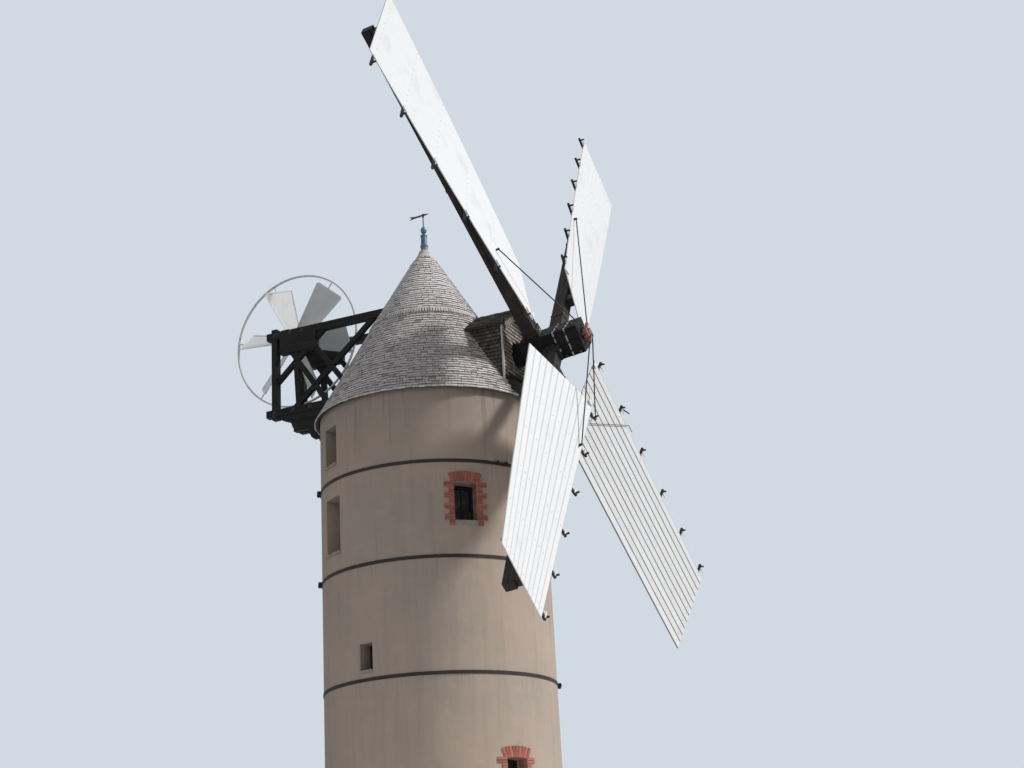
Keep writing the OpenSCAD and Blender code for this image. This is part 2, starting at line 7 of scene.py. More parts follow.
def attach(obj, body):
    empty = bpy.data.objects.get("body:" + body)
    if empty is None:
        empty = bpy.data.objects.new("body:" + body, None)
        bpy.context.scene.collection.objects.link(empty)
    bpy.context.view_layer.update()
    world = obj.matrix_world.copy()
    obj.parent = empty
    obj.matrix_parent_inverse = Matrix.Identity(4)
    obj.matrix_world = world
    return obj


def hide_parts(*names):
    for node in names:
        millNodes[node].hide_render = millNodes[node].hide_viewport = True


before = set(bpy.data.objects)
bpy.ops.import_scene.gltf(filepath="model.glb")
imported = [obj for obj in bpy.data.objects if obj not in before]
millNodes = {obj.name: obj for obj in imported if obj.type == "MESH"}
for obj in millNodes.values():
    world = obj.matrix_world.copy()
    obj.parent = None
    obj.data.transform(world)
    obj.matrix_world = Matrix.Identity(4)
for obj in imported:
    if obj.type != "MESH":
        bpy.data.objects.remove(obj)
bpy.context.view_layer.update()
print("mill: frame loaded,", len(millNodes), "nodes")

# small helpers for node trees

bench = {}     # the node tree being built, and the material and shader it belongs to


class Wire:
    # one output of a node; arithmetic between wires adds a Math node to the tree
    def __init__(self, node, output=0):
        self.node, self.output = node, output

    def __getitem__(self, output):
        return Wire(self.node, output)

    def __add__(self, other):
        return calc("ADD", self, other)

    def __radd__(self, other):
        return calc("ADD", other, self)

    def __sub__(self, other):
        return calc("SUBTRACT", self, other)

    def __rsub__(self, other):
        return calc("SUBTRACT", other, self)

    def __mul__(self, other):
        return calc("MULTIPLY", self, other)

    def __truediv__(self, other):
        return calc("DIVIDE", self, other)

    def __rtruediv__(self, other):
        return calc("DIVIDE", other, self)

    def __mod__(self, other):
        return calc("MODULO", self, other)

    def __lt__(self, other):
        return calc("LESS_THAN", self, other)

    def __gt__(self, other):
        return calc("GREATER_THAN", self, other)

    def __abs__(self):
        return calc("ABSOLUTE", self)


def feed(socket, value):
    # a value is either a wire or a plain setting
    if isinstance(value, Wire):
        bench["tree"].links.new(value.node.outputs[value.output], socket)
    elif value is not None:
        socket.default_value = value


def place(kind, **values):
    # node by type; keys are its own settings, or its input names with _ for a space
    n = bench["tree"].nodes.new(kind)
    for key, value in values.items():
        if hasattr(n, key):
            setattr(n, key, value)
        else:
            feed(n.inputs[key.replace("_", " ")], value)
    return Wire(n)


def filled(made, *values):
    for socket, value in zip(made.node.inputs, values):
        feed(socket, value)
    return made


def calc(operation, *values):
    return filled(place("ShaderNodeMath", operation=operation), *values)


def larger(a, b):
    return calc("MAXIMUM", a, b)


def vec(operation, *values):
    made = filled(place("ShaderNodeVectorMath", operation=operation), *values)
    return made["Value"] if operation in ("DOT_PRODUCT", "DISTANCE") else made


def scaled(vector, factor):
    return place("ShaderNodeVectorMath", operation="SCALE", Vector=vector, Scale=factor)


def combine(x, y, z):
    return place("ShaderNodeCombineXYZ", X=x, Y=y, Z=z)


def separate(vector):
    made = place("ShaderNodeSeparateXYZ", Vector=vector)
    return [made[n] for n in range(3)]


def ranged(value, low, high, toLow=0.0, toHigh=1.0):
    return place("ShaderNodeMapRange", Value=value, From_Min=low, From_Max=high, To_Min=toLow, To_Max=toHigh)


def noiseAt(vector, size, detail=4.0, rough=0.55):
    return place("ShaderNodeTexNoise", Vector=vector, Scale=1.0 / size, Detail=detail, Roughness=rough)


arrow, stuff, shape = "NodeSocketVector", "NodeSocketMaterial", "NodeSocketGeometry"
number = "NodeSocketFloat"


def newTree(name, kind, inputs, outputs):
    # an input is given by its first value, or by its type where it has none
    tree = bpy.data.node_groups.new(name, kind)
    for label, value in inputs.items():
        if isinstance(value, str):
            tree.interface.new_socket(name=label, in_out="INPUT", socket_type=value)
            continue
        kindOf = "NodeSocketInt" if isinstance(value, int) else number
        tree.interface.new_socket(name=label, in_out="INPUT", socket_type=kindOf).default_value = value
    for label, socketType in outputs.items():
        tree.interface.new_socket(name=label, in_out="OUTPUT", socket_type=socketType)
    bench["tree"] = tree
    return tree, place("NodeGroupInput"), tree.nodes.new("NodeGroupOutput").inputs


def putIn(name, data):
    obj = bpy.data.objects.new(name, data)
    bpy.context.scene.collection.objects.link(obj)
    return obj


def realised(name, tree, settings, start=None):
    # runs a geometry tree once and keeps its result as a plain mesh
    maker = putIn(name + "Maker", start or bpy.data.meshes.new(name + "Start"))
    mod = maker.modifiers.new("maker", "NODES")
    mod.node_group = tree
    for item in tree.interface.items_tree:
        if item.item_type == "SOCKET" and item.in_out == "INPUT" and item.name in settings:
            mod[item.identifier] = settings[item.name]
    graph = bpy.context.evaluated_depsgraph_get()
    mesh = bpy.data.meshes.new_from_object(maker.evaluated_get(graph), depsgraph=graph)
    bpy.data.objects.remove(maker)
    mesh.name = name
    return putIn(name, mesh)


def meshPiece(name, bm, *materials):
    mesh = bpy.data.meshes.new(name)
    bmesh.ops.recalc_face_normals(bm, faces=bm.faces)
    bm.to_mesh(mesh)
    bm.free()
    for m in materials:
        mesh.materials.append(m)
    return putIn(name, mesh)


def settle(piece, body, slotName, *stands):
    if stands:
        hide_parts(*stands)
    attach(piece, body)


def joined(name, pieces):
    bm = bmesh.new()
    for p in pieces:
        bm.from_mesh(p.data)
    mesh = bpy.data.meshes.new(name)
    bm.to_mesh(mesh)
    bm.free()
    for m in pieces[0].data.materials:
        mesh.materials.append(m)
    for p in pieces:
        bpy.data.objects.remove(p)
    return putIn(name, mesh)


def boxInto(bm, low, high, matrix=Matrix.Identity(4), chamfer=0.0):
    made = bmesh.ops.create_cube(bm, size=1.0)
    size = Vector(high) - Vector(low)
    middle = (Vector(high) + Vector(low)) / 2
    for v in made["verts"]:
        v.co = Vector((v.co.x * size.x, v.co.y * size.y, v.co.z * size.z)) + middle
    moved = made["verts"]
    if chamfer:
        edges = list({e for v in made["verts"] for e in v.link_edges})
        cut = bmesh.ops.bevel(bm, geom=edges, offset=chamfer, segments=1, affect="EDGES")
        moved = list({v for f in cut["faces"] for v in f.verts} | {v for v in made["verts"] if v.is_valid})
    for v in moved:
        v.co = matrix @ v.co


def hoopInto(bm, hx, hy, thick, low, high, matrix, alongY=False):
    # four flat bars round a rectangular beam that runs along Z or along Y
    x, y = hx + thick, hy + thick
    for x0, y0, x1, y1 in ((-x, -y, x, -hy), (-x, hy, x, y), (-x, -hy, -hx, hy), (hx, -hy, x, hy)):
        if alongY:
            boxInto(bm, (x0, low, y0), (x1, high, y1), matrix)
        else:
            boxInto(bm, (x0, y0, low), (x1, y1, high), matrix)


def rodInto(bm, a, b, radius, sides=8):
    a, b = Vector(a), Vector(b)
    made = bmesh.ops.create_cone(bm, cap_ends=True, segments=sides, radius1=radius, radius2=radius,
                                 depth=(b - a).length)
    m = Matrix.Translation((a + b) / 2) @ (b - a).to_track_quat("Z", "Y").to_matrix().to_4x4()
    for v in made["verts"]:
        v.co = m @ v.co


def bridge(bm, low, high):
    # a belt of faces from one ring to the next
    for n in range(len(low)):
        m = (n + 1) % len(low)
        bm.faces.new((low[n], low[m], high[m], high[n]))


def circleOf(sides):
    return [2 * math.pi * n / sides for n in range(sides)]


def rotation(degrees, axis):
    return Matrix.Rotation(math.radians(degrees), 4, axis)


# camera and light

sight = {
    "around": -1.1043,       # radians round the tower from the sails' side
    "away": 35.8432,
    "height": -1.8,          # the view is from lower than the foot
    "turn": -0.0525,
    "raise": 0.3343,
    "lean": -0.0554,
    "focal": 1663.1,         # in pixels of a frame that is this wide
    "frameWidth": 1024.0,
    "sensorWidth": 36.0,
}


def placeCamera(s):
    data = bpy.data.cameras.new("millSight")
    data.sensor_width = s["sensorWidth"]
    data.lens = s["sensorWidth"] * s["focal"] / s["frameWidth"]
    cam = putIn("millSight", data)
    a = s["around"] + s["turn"]
    level, rise = math.cos(s["raise"]), math.sin(s["raise"])
    ahead = Vector((-math.sin(a) * level, math.cos(a) * level, rise))
    right = ahead.cross(Vector((0, 0, 1))).normalized()
    up = right.cross(ahead)
    leanRight = right * math.cos(s["lean"]) + up * math.sin(s["lean"])
    leanUp = up * math.cos(s["lean"]) - right * math.sin(s["lean"])
    m = Matrix((leanRight, leanUp, -ahead)).transposed().to_4x4()
    away, around = s["away"], s["around"]
    m.translation = Vector((away * math.sin(around), -away * math.cos(around), s["height"]))
    cam.matrix_world = m
    bpy.context.scene.camera = cam


daylight = {
    # degrees from the sails' right, degrees up, strength, softness in degrees
    "keyLight": (18, 37, 2.8, 8),
    "fillLight": (-95, 20, 0.25, 40),
    "skyColour": (0.93, 0.96, 1.0, 1),
    "skyStrength": 0.28,
    "backdrop": (0.64, 0.70, 0.77, 1),
    "floorRadius": 13.5,
    "floorColour": (0.8, 0.8, 0.79, 1),
    "floorRoughness": 0.9,
}


def placeSun(name, around, height, strength, softness):
    lamp = bpy.data.lights.new(name, "SUN")
    lamp.energy = strength
    lamp.angle = math.radians(softness)
    a, e = math.radians(around), math.radians(height)
    toSun = Vector((math.sin(a) * math.cos(e), -math.cos(a) * math.cos(e), math.sin(e)))
    putIn(name, lamp).rotation_euler = toSun.to_track_quat("Z", "Y").to_euler()


def buildStage(d):
    for name in ("keyLight", "fillLight"):
        placeSun(name, *d[name])
    world = bpy.data.worlds.new("paleStudio")
    bpy.context.scene.world = world
    world.use_nodes = True
    world.node_tree.nodes.clear()
    bench["tree"] = world.node_tree
    # the backdrop is seen in one tone and lights the mill with another
    path = place("ShaderNodeLightPath")
    seen = larger(larger(path["Is Camera Ray"], path["Is Glossy Ray"]), path["Is Transmission Ray"])
    lighting = place("ShaderNodeBackground", Color=d["skyColour"], Strength=d["skyStrength"])
    backdrop = place("ShaderNodeBackground", Color=d["backdrop"])
    place("ShaderNodeOutputWorld", Surface=filled(place("ShaderNodeMixShader"), seen, lighting, backdrop))
    bm = bmesh.new()
    bmesh.ops.create_circle(bm, cap_ends=True, radius=d["floorRadius"], segments=96)
    mesh = bpy.data.meshes.new("paleFloor")
    bm.to_mesh(mesh)
    bm.free()
    mat = bpy.data.materials.new("paleFloor")
    mat.use_nodes = True
    shade = mat.node_tree.nodes["Principled BSDF"]
    shade.inputs["Base Color"].default_value = d["floorColour"]
    shade.inputs["Roughness"].default_value = d["floorRoughness"]
    mesh.materials.append(mat)
    floor = putIn("paleFloor", mesh)


placeCamera(sight)
buildStage(daylight)
bpy.context.scene.view_settings.view_transform = "Standard"
print("mill: camera and light placed")

# shared effects


def buildGrimeGroup():
    # blotches and rain streaks that run down the object
    tree, given, result = newTree("rainGrime", "ShaderNodeTree", {
        "Vector": arrow, "Blotch Size": 0.6, "Streak Width": 0.12, "Streak Length": 1.6},
                                  {"Blotch": number, "Streak": number})
    feed(result["Blotch"], noiseAt(scaled(given["Vector"], 1.0 / given["Blotch Size"]), 1.0, 5.0, 0.6))
    x, y, z = separate(given["Vector"])
    across = 1.0 / given["Streak Width"]
    streakAt = combine(x * across, y * across, z * (1.0 / given["Streak Length"]))
    feed(result["Streak"], noiseAt(streakAt, 1.0, 3.0, 0.5))
    return tree


def buildGrainGroup():
    # wood grain along the local Z of the given coordinates
    tree, given, result = newTree("timberGrain", "ShaderNodeTree", {
        "Vector": arrow, "Fibre": 0.012, "Length": 0.45}, {"Grain": number, "Crack": number})
    x, y, z = separate(given["Vector"])
    fine = 1.0 / given["Fibre"]
    grainAt = combine(x * fine, y * fine, z * (1.0 / given["Length"]))
    feed(result["Grain"], noiseAt(grainAt, 1.0, 4.0, 0.65))
    feed(result["Crack"], ranged(noiseAt(scaled(grainAt, 0.35), 1.0, 2.0, 0.5), 0.36, 0.42))
    return tree


def buildEdgeGroup():
    # mask that is 1 along worn outer edges
    tree, given, result = newTree("edgeWear", "ShaderNodeTree", {
        "Vector": arrow, "Width": 0.012, "Break Up": 0.05}, {"Mask": number})
    rounded = place("ShaderNodeBevel", samples=4, Radius=given["Width"])
    facing = vec("DOT_PRODUCT", rounded["Normal"], place("ShaderNodeNewGeometry")["Normal"])
    worn = noiseAt(scaled(given["Vector"], 1.0 / given["Break Up"]), 1.0, 3.0, 0.5)
    feed(result["Mask"], ranged(facing, 0.97, 0.8) * ranged(worn, 0.42, 0.6))
    return tree


def buildDustGroup():
    # dust and lichen that settle on faces turned upwards
    tree, given, result = newTree("settledDust", "ShaderNodeTree", {"Vector": arrow, "Patch": 0.25}, {
        "Mask": number})
    up = separate(place("ShaderNodeNewGeometry")["Normal"])[2]
    patch = noiseAt(scaled(given["Vector"], 1.0 / given["Patch"]), 1.0, 4.0, 0.5)
    feed(result["Mask"], ranged(up, 0.35, 0.95) * ranged(patch, 0.4, 0.62))
    return tree


rainGrime = buildGrimeGroup()
timberGrain = buildGrainGroup()
edgeWear = buildEdgeGroup()
settledDust = buildDustGroup()


def effect(group, **values):
    made = place("ShaderNodeGroup", node_tree=group)
    for key, value in values.items():
        feed(made.node.inputs[key.replace("_", " ")], value)
    return made


def grimeAt(at, blotch, width, length):
    return effect(rainGrime, Vector=at, Blotch_Size=blotch, Streak_Width=width, Streak_Length=length)


def wornEdges(at, width, breakUp):
    return effect(edgeWear, Vector=at, Width=width, Break_Up=breakUp)


def grainAlong(at, fibre, length):
    return effect(timberGrain, Vector=at, Fibre=fibre, Length=length)


def meshValue(name):
    # a value that the mesh itself carries
    return place("ShaderNodeAttribute", attribute_name=name)


def newFinish(name, roughness, metallic, specular):
    mat = bpy.data.materials.new(name)
    mat.use_nodes = True
    mat.node_tree.nodes.clear()
    bench["tree"], bench["material"] = mat.node_tree, mat
    shade = place("ShaderNodeBsdfPrincipled", Roughness=roughness, Metallic=metallic,
                  Specular_IOR_Level=specular)
    place("ShaderNodeOutputMaterial", Surface=shade)
    bench["shade"] = shade.node.inputs
    return place("ShaderNodeTexCoord")["Object"]


def finished(colour, height, strength, distance, roughness=None):
    shade = bench["shade"]
    feed(shade["Base Color"], colour)
    feed(shade["Roughness"], roughness)
    feed(shade["Normal"], place("ShaderNodeBump", Height=height, Strength=strength, Distance=distance))
    return bench["material"]


def blend(factor, a, b):
    made = place("ShaderNodeMix", data_type="RGBA", Factor=factor)
    for socket, value in zip(made.node.inputs[6:8], (a, b)):
        feed(socket, (*value, 1.0) if isinstance(value, tuple) else value)
    return made[2]


def tinted(colour, factor, more=0.0):
    return tuple(min(1.0, v * factor + more) for v in colour)


def swivelled(vector, turn):
    # object coordinates turned so that their Z runs along a tilted beam
    return place("ShaderNodeMapping", vector_type="POINT", Vector=vector, Rotation=turn)

# finishes

# eaves is the band, in metres up, where rain streaks grow and where painted shade of the eaves darkens the
# wall
renderWall = {"lit": (0.5, 0.395, 0.32), "cool": (0.43, 0.36, 0.305), "stain": (0.22, 0.188, 0.16),
              "warm": (0.56, 0.43, 0.32), "eaves": (8.0, 9.8), "foot": 1.4, "hoops": (8.17, 6.14, 3.75),
              "hoopStain": 0.75}


def makeLimeRender(c):
    at = newFinish("limeRender", 0.92, 0.0, 0.2)
    broad = grimeAt(at, 1.7, 0.16, 2.6)
    fine = grimeAt(at, 0.35, 0.05, 1.1)
    base = blend(ranged(broad["Blotch"], 0.38, 0.62), c["lit"], c["cool"])
    base = blend(ranged(fine["Blotch"], 0.52, 0.75, 0.0, 0.5), base, c["warm"])
    z = separate(at)[2]
    # rain carries soot from the eaves and from each hoop; the band under the eaves is also darkened evenly as
    # painted shade of the eaves
    eaveStreaksAndShade = ranged(z, *c["eaves"])
    foot = ranged(z, c["foot"], 0.0, 0.0, 0.8)
    hoopStain = None
    for hoopHeight in c["hoops"]:
        onlyBelow = ranged(z, hoopHeight - c["hoopStain"], hoopHeight) * (z < hoopHeight)
        hoopStain = onlyBelow if hoopStain is None else larger(hoopStain, onlyBelow)
    streaks = ranged(broad["Streak"], 0.5, 0.66)
    thin = ranged(fine["Streak"], 0.52, 0.7)
    dirtAndEaveShade = streaks * (0.13 + eaveStreaksAndShade * 0.55)
    dirtAndEaveShade = larger(dirtAndEaveShade, thin * hoopStain * 0.3)
    dirtAndEaveShade = larger(dirtAndEaveShade, foot * ranged(fine["Blotch"], 0.4, 0.65))
    # painted shade: an even darkening of the top of the wall under the eaves
    dirtAndEaveShade = larger(dirtAndEaveShade, eaveStreaksAndShade * 0.28)
    sand = noiseAt(at, 0.012, 6.0, 0.7)
    trowel = noiseAt(at, 0.4, 3.0, 0.5)
    tone = blend(dirtAndEaveShade, base, c["stain"])
    return finished(tone, sand * 0.35 + trowel, 0.5, 0.03, ranged(fine["Blotch"], 0.3, 0.7, 0.84, 0.97))


def makeSillStone(name="paleSillStone", pale=(0.4, 0.345, 0.285), deep=(0.3, 0.26, 0.215)):
    at = newFinish(name, 0.85, 0.0, 0.3)
    spots = grimeAt(at, 0.12, 0.03, 0.3)
    wear = wornEdges(at, 0.02, 0.06)
    tone = blend(ranged(spots["Blotch"], 0.4, 0.65), pale, deep)
    tone = blend(wear, tone, tinted(pale, 1.15))
    return finished(tone, noiseAt(at, 0.03, 6.0, 0.6), 0.5, 0.01)


def makePlankFloor():
    at = newFinish("loftPlanks", 0.75, 0.0, 0.35)
    x, y, z = separate(at)
    lane = x / 0.19
    seam = ranged(abs(calc("FRACT", lane) - 0.5), 0.475, 0.495)
    along = combine(x + calc("FLOOR", lane), z, y)
    grain = grainAlong(along, 0.018, 0.5)
    tone = blend(ranged(grain["Grain"], 0.3, 0.7), (0.25, 0.17, 0.105), (0.14, 0.095, 0.06))
    tone = blend(seam, tone, (0.02, 0.015, 0.01))
    return finished(tone, grain["Grain"] - seam * 2.0, 0.5, 0.004)


def makeIron(name, base, rust, rustShare, roughness, metallic):
    at = newFinish(name, roughness, metallic, 0.5)
    patches = grimeAt(at, 0.16, 0.05, 0.3)
    wear = wornEdges(at, 0.006, 0.03)
    rusty = ranged(patches["Blotch"], 0.62 - rustShare * 0.25, 0.72 - rustShare * 0.25)
    tone = blend(rusty, base, rust)
    light = tinted(base, 1.9, 0.03)
    tone = blend(wear * 0.7, tone, light)
    return finished(tone, noiseAt(at, 0.02, 5.0, 0.6), 0.35, 0.003, ranged(rusty, 0.0, 1.0, roughness, 0.93))


def makeTimber(name, pale, dark, turn=(0, 0, 0), edge=(0.12, 0.1, 0.08), dusty=0.35):
    at = newFinish(name, 0.7, 0.0, 0.15 + 0.5 * dusty)
    along = swivelled(at, turn)
    grain = grainAlong(along, 0.02, 0.8)
    patches = grimeAt(at, 0.5, 0.08, 0.9)
    wear = wornEdges(at, 0.015, 0.08)
    dust = effect(settledDust, Vector=at, Patch=0.2)
    tone = blend(ranged(grain["Grain"], 0.3, 0.7), dark, pale)
    tone = blend(ranged(patches["Blotch"], 0.5, 0.7, 0.0, 0.6), tone, tinted(pale, 1.5))
    tone = blend((1.0 - grain["Crack"]) * 0.8, tone, tinted(dark, 0.3))
    tone = blend(wear * 0.7, tone, edge)
    tone = blend(dust * dusty, tone, (0.2, 0.19, 0.165))
    return finished(tone, grain["Grain"] + grain["Crack"], 0.5, 0.006,
                    ranged(grain["Grain"], 0.3, 0.7, 0.62, 0.82))


def makeGlass():
    at = newFinish("dustyPane", 0.12, 0.0, 0.5)
    dirt = grimeAt(at, 0.25, 0.04, 0.3)
    tone = blend(ranged(dirt["Blotch"], 0.45, 0.75, 0.0, 0.6), (0.012, 0.015, 0.018), (0.06, 0.06, 0.055))
    return finished(tone, noiseAt(at, 0.3, 1.0), 0.1, 0.01, ranged(dirt["Blotch"], 0.3, 0.7, 0.08, 0.4))


def makeShingle(name, pale, mid, dark, darkening=0.85):
    # every shingle has its own tone, kept as an attribute of the mesh
    at = newFinish(name, 0.85, 0.0, 0.25)
    own = meshValue("tone")
    tone = blend(own, mid, pale)
    tone = blend(ranged(own, 0.1, 0.0, 0.0, 0.5), tone, dark)
    z = separate(at)[2]
    upright = grainAlong(at, 0.02, 0.3)
    tone = blend(ranged(upright["Grain"], 0.45, 0.7, 0.0, 0.4), tone, dark)
    moss = grimeAt(at, 0.9, 0.2, 0.9)
    tone = blend(ranged(moss["Blotch"], 0.58, 0.78, 0.0, 0.3), tone, tinted(mid, 0.65))
    # the steep top dries fastest and bleaches most
    tone = blend(ranged(z, 11.8, 12.9, 0.0, 0.6), tone, tinted(pale, 1.2))
    # painted shadow: each shingle darkens just below where the next row's butt lies over it
    buttShadowRise = meshValue("rise")
    tone = blend(ranged(buttShadowRise, 0.2, 0.42, 0.0, darkening), tone, tinted(dark, 0.35))
    return finished(tone, upright["Grain"], 0.6, 0.004)


def makeZinc(name, pale, deep, edge, metallic):
    at = newFinish(name, 0.45, metallic, 0.5)
    stains = grimeAt(at, 0.18, 0.03, 0.35)
    wear = wornEdges(at, 0.008, 0.05)
    tone = blend(ranged(stains["Streak"], 0.4, 0.7), pale, deep)
    # the skirt at the foot is bedded in pale mortar
    bedded = ranged(separate(at)[2], 13.95, 13.9)
    tone = blend(bedded, tone, (0.52, 0.5, 0.48))
    tone = blend(wear, tone, edge)
    return finished(tone, noiseAt(at, 0.08, 3.0), 0.25, 0.004, ranged(stains["Blotch"], 0.3, 0.7, 0.35, 0.62))


def makePaint(name, base, grime, chip, chipShare):
    at = newFinish(name, 0.55, 0.0, 0.4)
    dirt = grimeAt(at, 0.5, 0.06, 0.7)
    wear = wornEdges(at, 0.008, 0.04)
    tone = blend(ranged(dirt["Streak"], 0.5, 0.72, 0.0, 0.45), base, grime)
    flaked = ranged(noiseAt(at, 0.05, 5.0, 0.7), 0.68 - chipShare, 0.7 - chipShare)
    chipped = larger(wear * 0.8, flaked * 0.8)
    tone = blend(chipped, tone, chip)
    return finished(tone, noiseAt(at, 0.1, 3.0) - flaked, 0.25, 0.002,
                    ranged(dirt["Blotch"], 0.3, 0.7, 0.45, 0.7))


# joint is the grey-brown of the joint lines, partly dark joints and partly painted groove shade; it also
# colours the bare spots where the paint is gone
boardPaint = {"paint": (0.88, 0.88, 0.885), "shaded": (0.8, 0.8, 0.8), "joint": (0.3, 0.265, 0.235),
              "grime": (0.62, 0.59, 0.55), "jointWidth": 0.15}


def makeBoardPaint(c):
    # white paint with grey-brown lines along the board joints, partly dark joints and partly painted shade of
    # the grooves; boardMap runs 0 to 1 over each board
    at = newFinish("sailBoardPaint", 0.6, 0.0, 0.35)
    laid = meshValue("boardMap")
    across, along, boardTone = separate(laid["Vector"])
    fromMiddle = abs(across - 0.5)
    wander = (noiseAt(at, 0.35, 3.0) - 0.5) * 0.06
    joint = ranged(fromMiddle + wander, 0.5 - c["jointWidth"], 0.5 - c["jointWidth"] * 0.2)
    grainAt = combine(across * 0.17, boardTone, along * 6.6)
    grain = grainAlong(grainAt, 0.012, 0.7)
    dirt = grimeAt(at, 0.8, 0.1, 0.8)
    # painted groove shade: each sail carries its own strength for it, set by how the light falls on that
    # sail, and the same value scales how much its boards differ in tone
    jointShadeAndTone = meshValue("wear")
    uneven = (1.0 - boardTone) * ranged(jointShadeAndTone, 0.0, 1.0, 0.15, 0.8)
    tone = blend(uneven, c["paint"], c["shaded"])
    tone = blend(ranged(grain["Grain"], 0.5, 0.75, 0.0, 0.3), tone, c["shaded"])
    tone = blend(ranged(dirt["Blotch"], 0.58, 0.8, 0.0, 0.5), tone, c["grime"])
    bare = ranged(noiseAt(at, 0.06, 6.0, 0.75), 0.69, 0.72, 0.0, 0.5)
    tone = blend(bare, tone, c["joint"])
    # painted shade in the joint grooves, as strong as the sail's own value
    joint = joint * jointShadeAndTone
    tone = blend(joint, tone, c["joint"])
    return finished(tone, grain["Grain"], 0.35, 0.002, ranged(grain["Grain"], 0.3, 0.7, 0.5, 0.72))


def makeBrick(name, pale, deep, darkening):
    at = newFinish(name, 0.88, 0.0, 0.25)
    own = meshValue("tone")
    tone = blend(own, deep, pale)
    pores = noiseAt(at, 0.02, 6.0, 0.7)
    tone = blend(ranged(pores, 0.55, 0.75, 0.0, 0.5), tone, darkening)
    wear = wornEdges(at, 0.008, 0.03)
    tone = blend(wear * 0.6, tone, tinted(pale, 1.25, 0.04))
    return finished(tone, pores, 0.6, 0.004)


rotorPlace = {"forward": 2.785, "height": 11.04, "tilt": 7.0, "park": 52.9, "stockGap": 0.372}


def rotorMatrix(quarter, out=0.0, wedge=0.0):
    # the frame of one sail: Z out along the stock, -Y towards the wind
    r = rotorPlace
    return (Matrix.Translation((0, -r["forward"], r["height"])) @ rotation(-r["tilt"], "X")
            @ rotation(quarter * 90 - r["park"], "Y") @ Matrix.Translation((0, out, 0))
            @ rotation(wedge, "Z"))


def grainTurn(matrix):
    # Mapping rotation that brings the matrix's Z back upright
    return tuple(matrix.to_3x3().inverted().to_euler())


limeRender = makeLimeRender(renderWall)
sillStone = makeSillStone()
loftPlanks = makePlankFloor()
hoopIron = makeIron("rustedHoop", (0.028, 0.025, 0.024), (0.06, 0.032, 0.02), 0.45, 0.75, 0.2)
blackIron = makeIron("blackIron", (0.035, 0.034, 0.033), (0.09, 0.045, 0.025), 0.35, 0.6, 0.4)
ringIron = makeIron("ringIron", (0.5, 0.5, 0.48), (0.3, 0.2, 0.13), 0.15, 0.5, 0.4)
boltSteel = makeIron("boltSteel", (0.42, 0.41, 0.39), (0.2, 0.12, 0.07), 0.3, 0.5, 0.5)
joineryWood = makeTimber("weatheredJoinery", (0.17, 0.11, 0.075), (0.085, 0.055, 0.04))
sashTimber = makeTimber("darkSash", (0.035, 0.03, 0.027), (0.016, 0.014, 0.013), edge=(0.07, 0.06, 0.05),
                        dusty=0.08)
wedgeOak = makeTimber("greyOakWedge", (0.3, 0.28, 0.26), (0.16, 0.145, 0.13), edge=(0.38, 0.36, 0.33))
frameTimber = makeTimber("roughBeam", (0.15, 0.11, 0.08), (0.07, 0.05, 0.036))
lying = (math.pi / 2, 0, 0)     # for beams whose grain runs along Y
galleryTimber = makeTimber("tarredGallery", (0.022, 0.02, 0.019), (0.009, 0.009, 0.009), lying,
                           (0.06, 0.052, 0.045), 0.08)
headTimber = makeTimber("tarredHead", (0.02, 0.017, 0.016), (0.008, 0.007, 0.007), lying,
                        (0.06, 0.05, 0.045), 0.06)
stockTimberA, stockTimberB = (
    makeTimber("stockTimber" + letter, (0.05, 0.04, 0.034), (0.018, 0.015, 0.014),
               grainTurn(rotorMatrix(quarter)), (0.1, 0.085, 0.07), 0.12)
    for quarter, letter in enumerate("AB"))
dustyPane = makeGlass()
roofShingle = makeShingle("silverShingle", (0.86, 0.81, 0.79), (0.6, 0.555, 0.54), (0.16, 0.145, 0.135))
collarShingle = makeShingle("collarShingle", (0.72, 0.68, 0.66), (0.58, 0.54, 0.52), (0.2, 0.18, 0.17), 0.0)
gableShingle = makeShingle("gableShingle", (0.5, 0.44, 0.36), (0.26, 0.225, 0.185), (0.05, 0.043, 0.037))
# painted shade: the cheek shingles are coloured far darker than the gable's, for the shade the cheeks lie in
cheekShingle = makeShingle("cheekShingle", (0.17, 0.16, 0.148), (0.075, 0.07, 0.065), (0.03, 0.028, 0.026))
mossShingle = makeShingle("mossyShingle", (0.13, 0.118, 0.102), (0.075, 0.068, 0.06), (0.03, 0.027, 0.024))
underRoof = makeTimber("roofBoarding", (0.05, 0.042, 0.036), (0.025, 0.021, 0.018), dusty=0.1)
finialZinc = makeZinc("finialZinc", (0.15, 0.2, 0.27), (0.07, 0.1, 0.15), (0.3, 0.36, 0.44), 0.35)
paleZinc = makeZinc("paleZinc", (0.82, 0.82, 0.8), (0.6, 0.6, 0.58), (0.86, 0.86, 0.85), 0.0)
fanWhite = makePaint("fanWhite", (0.88, 0.88, 0.88), (0.74, 0.73, 0.7), (0.68, 0.66, 0.62), 0.0)
linkRed = makePaint("wornRed", (0.33, 0.12, 0.1), (0.12, 0.045, 0.04), (0.4, 0.3, 0.27), 0.12)
sailBoardPaint = makeBoardPaint(boardPaint)
mortarBed = makeSillStone("mortarBed")
peakMortar = makeSillStone("whitePeakMortar", (0.66, 0.63, 0.6), (0.5, 0.47, 0.44))
surroundBrick = makeBrick("salmonBrick", (0.5, 0.19, 0.135), (0.33, 0.105, 0.075), (0.15, 0.075, 0.06))

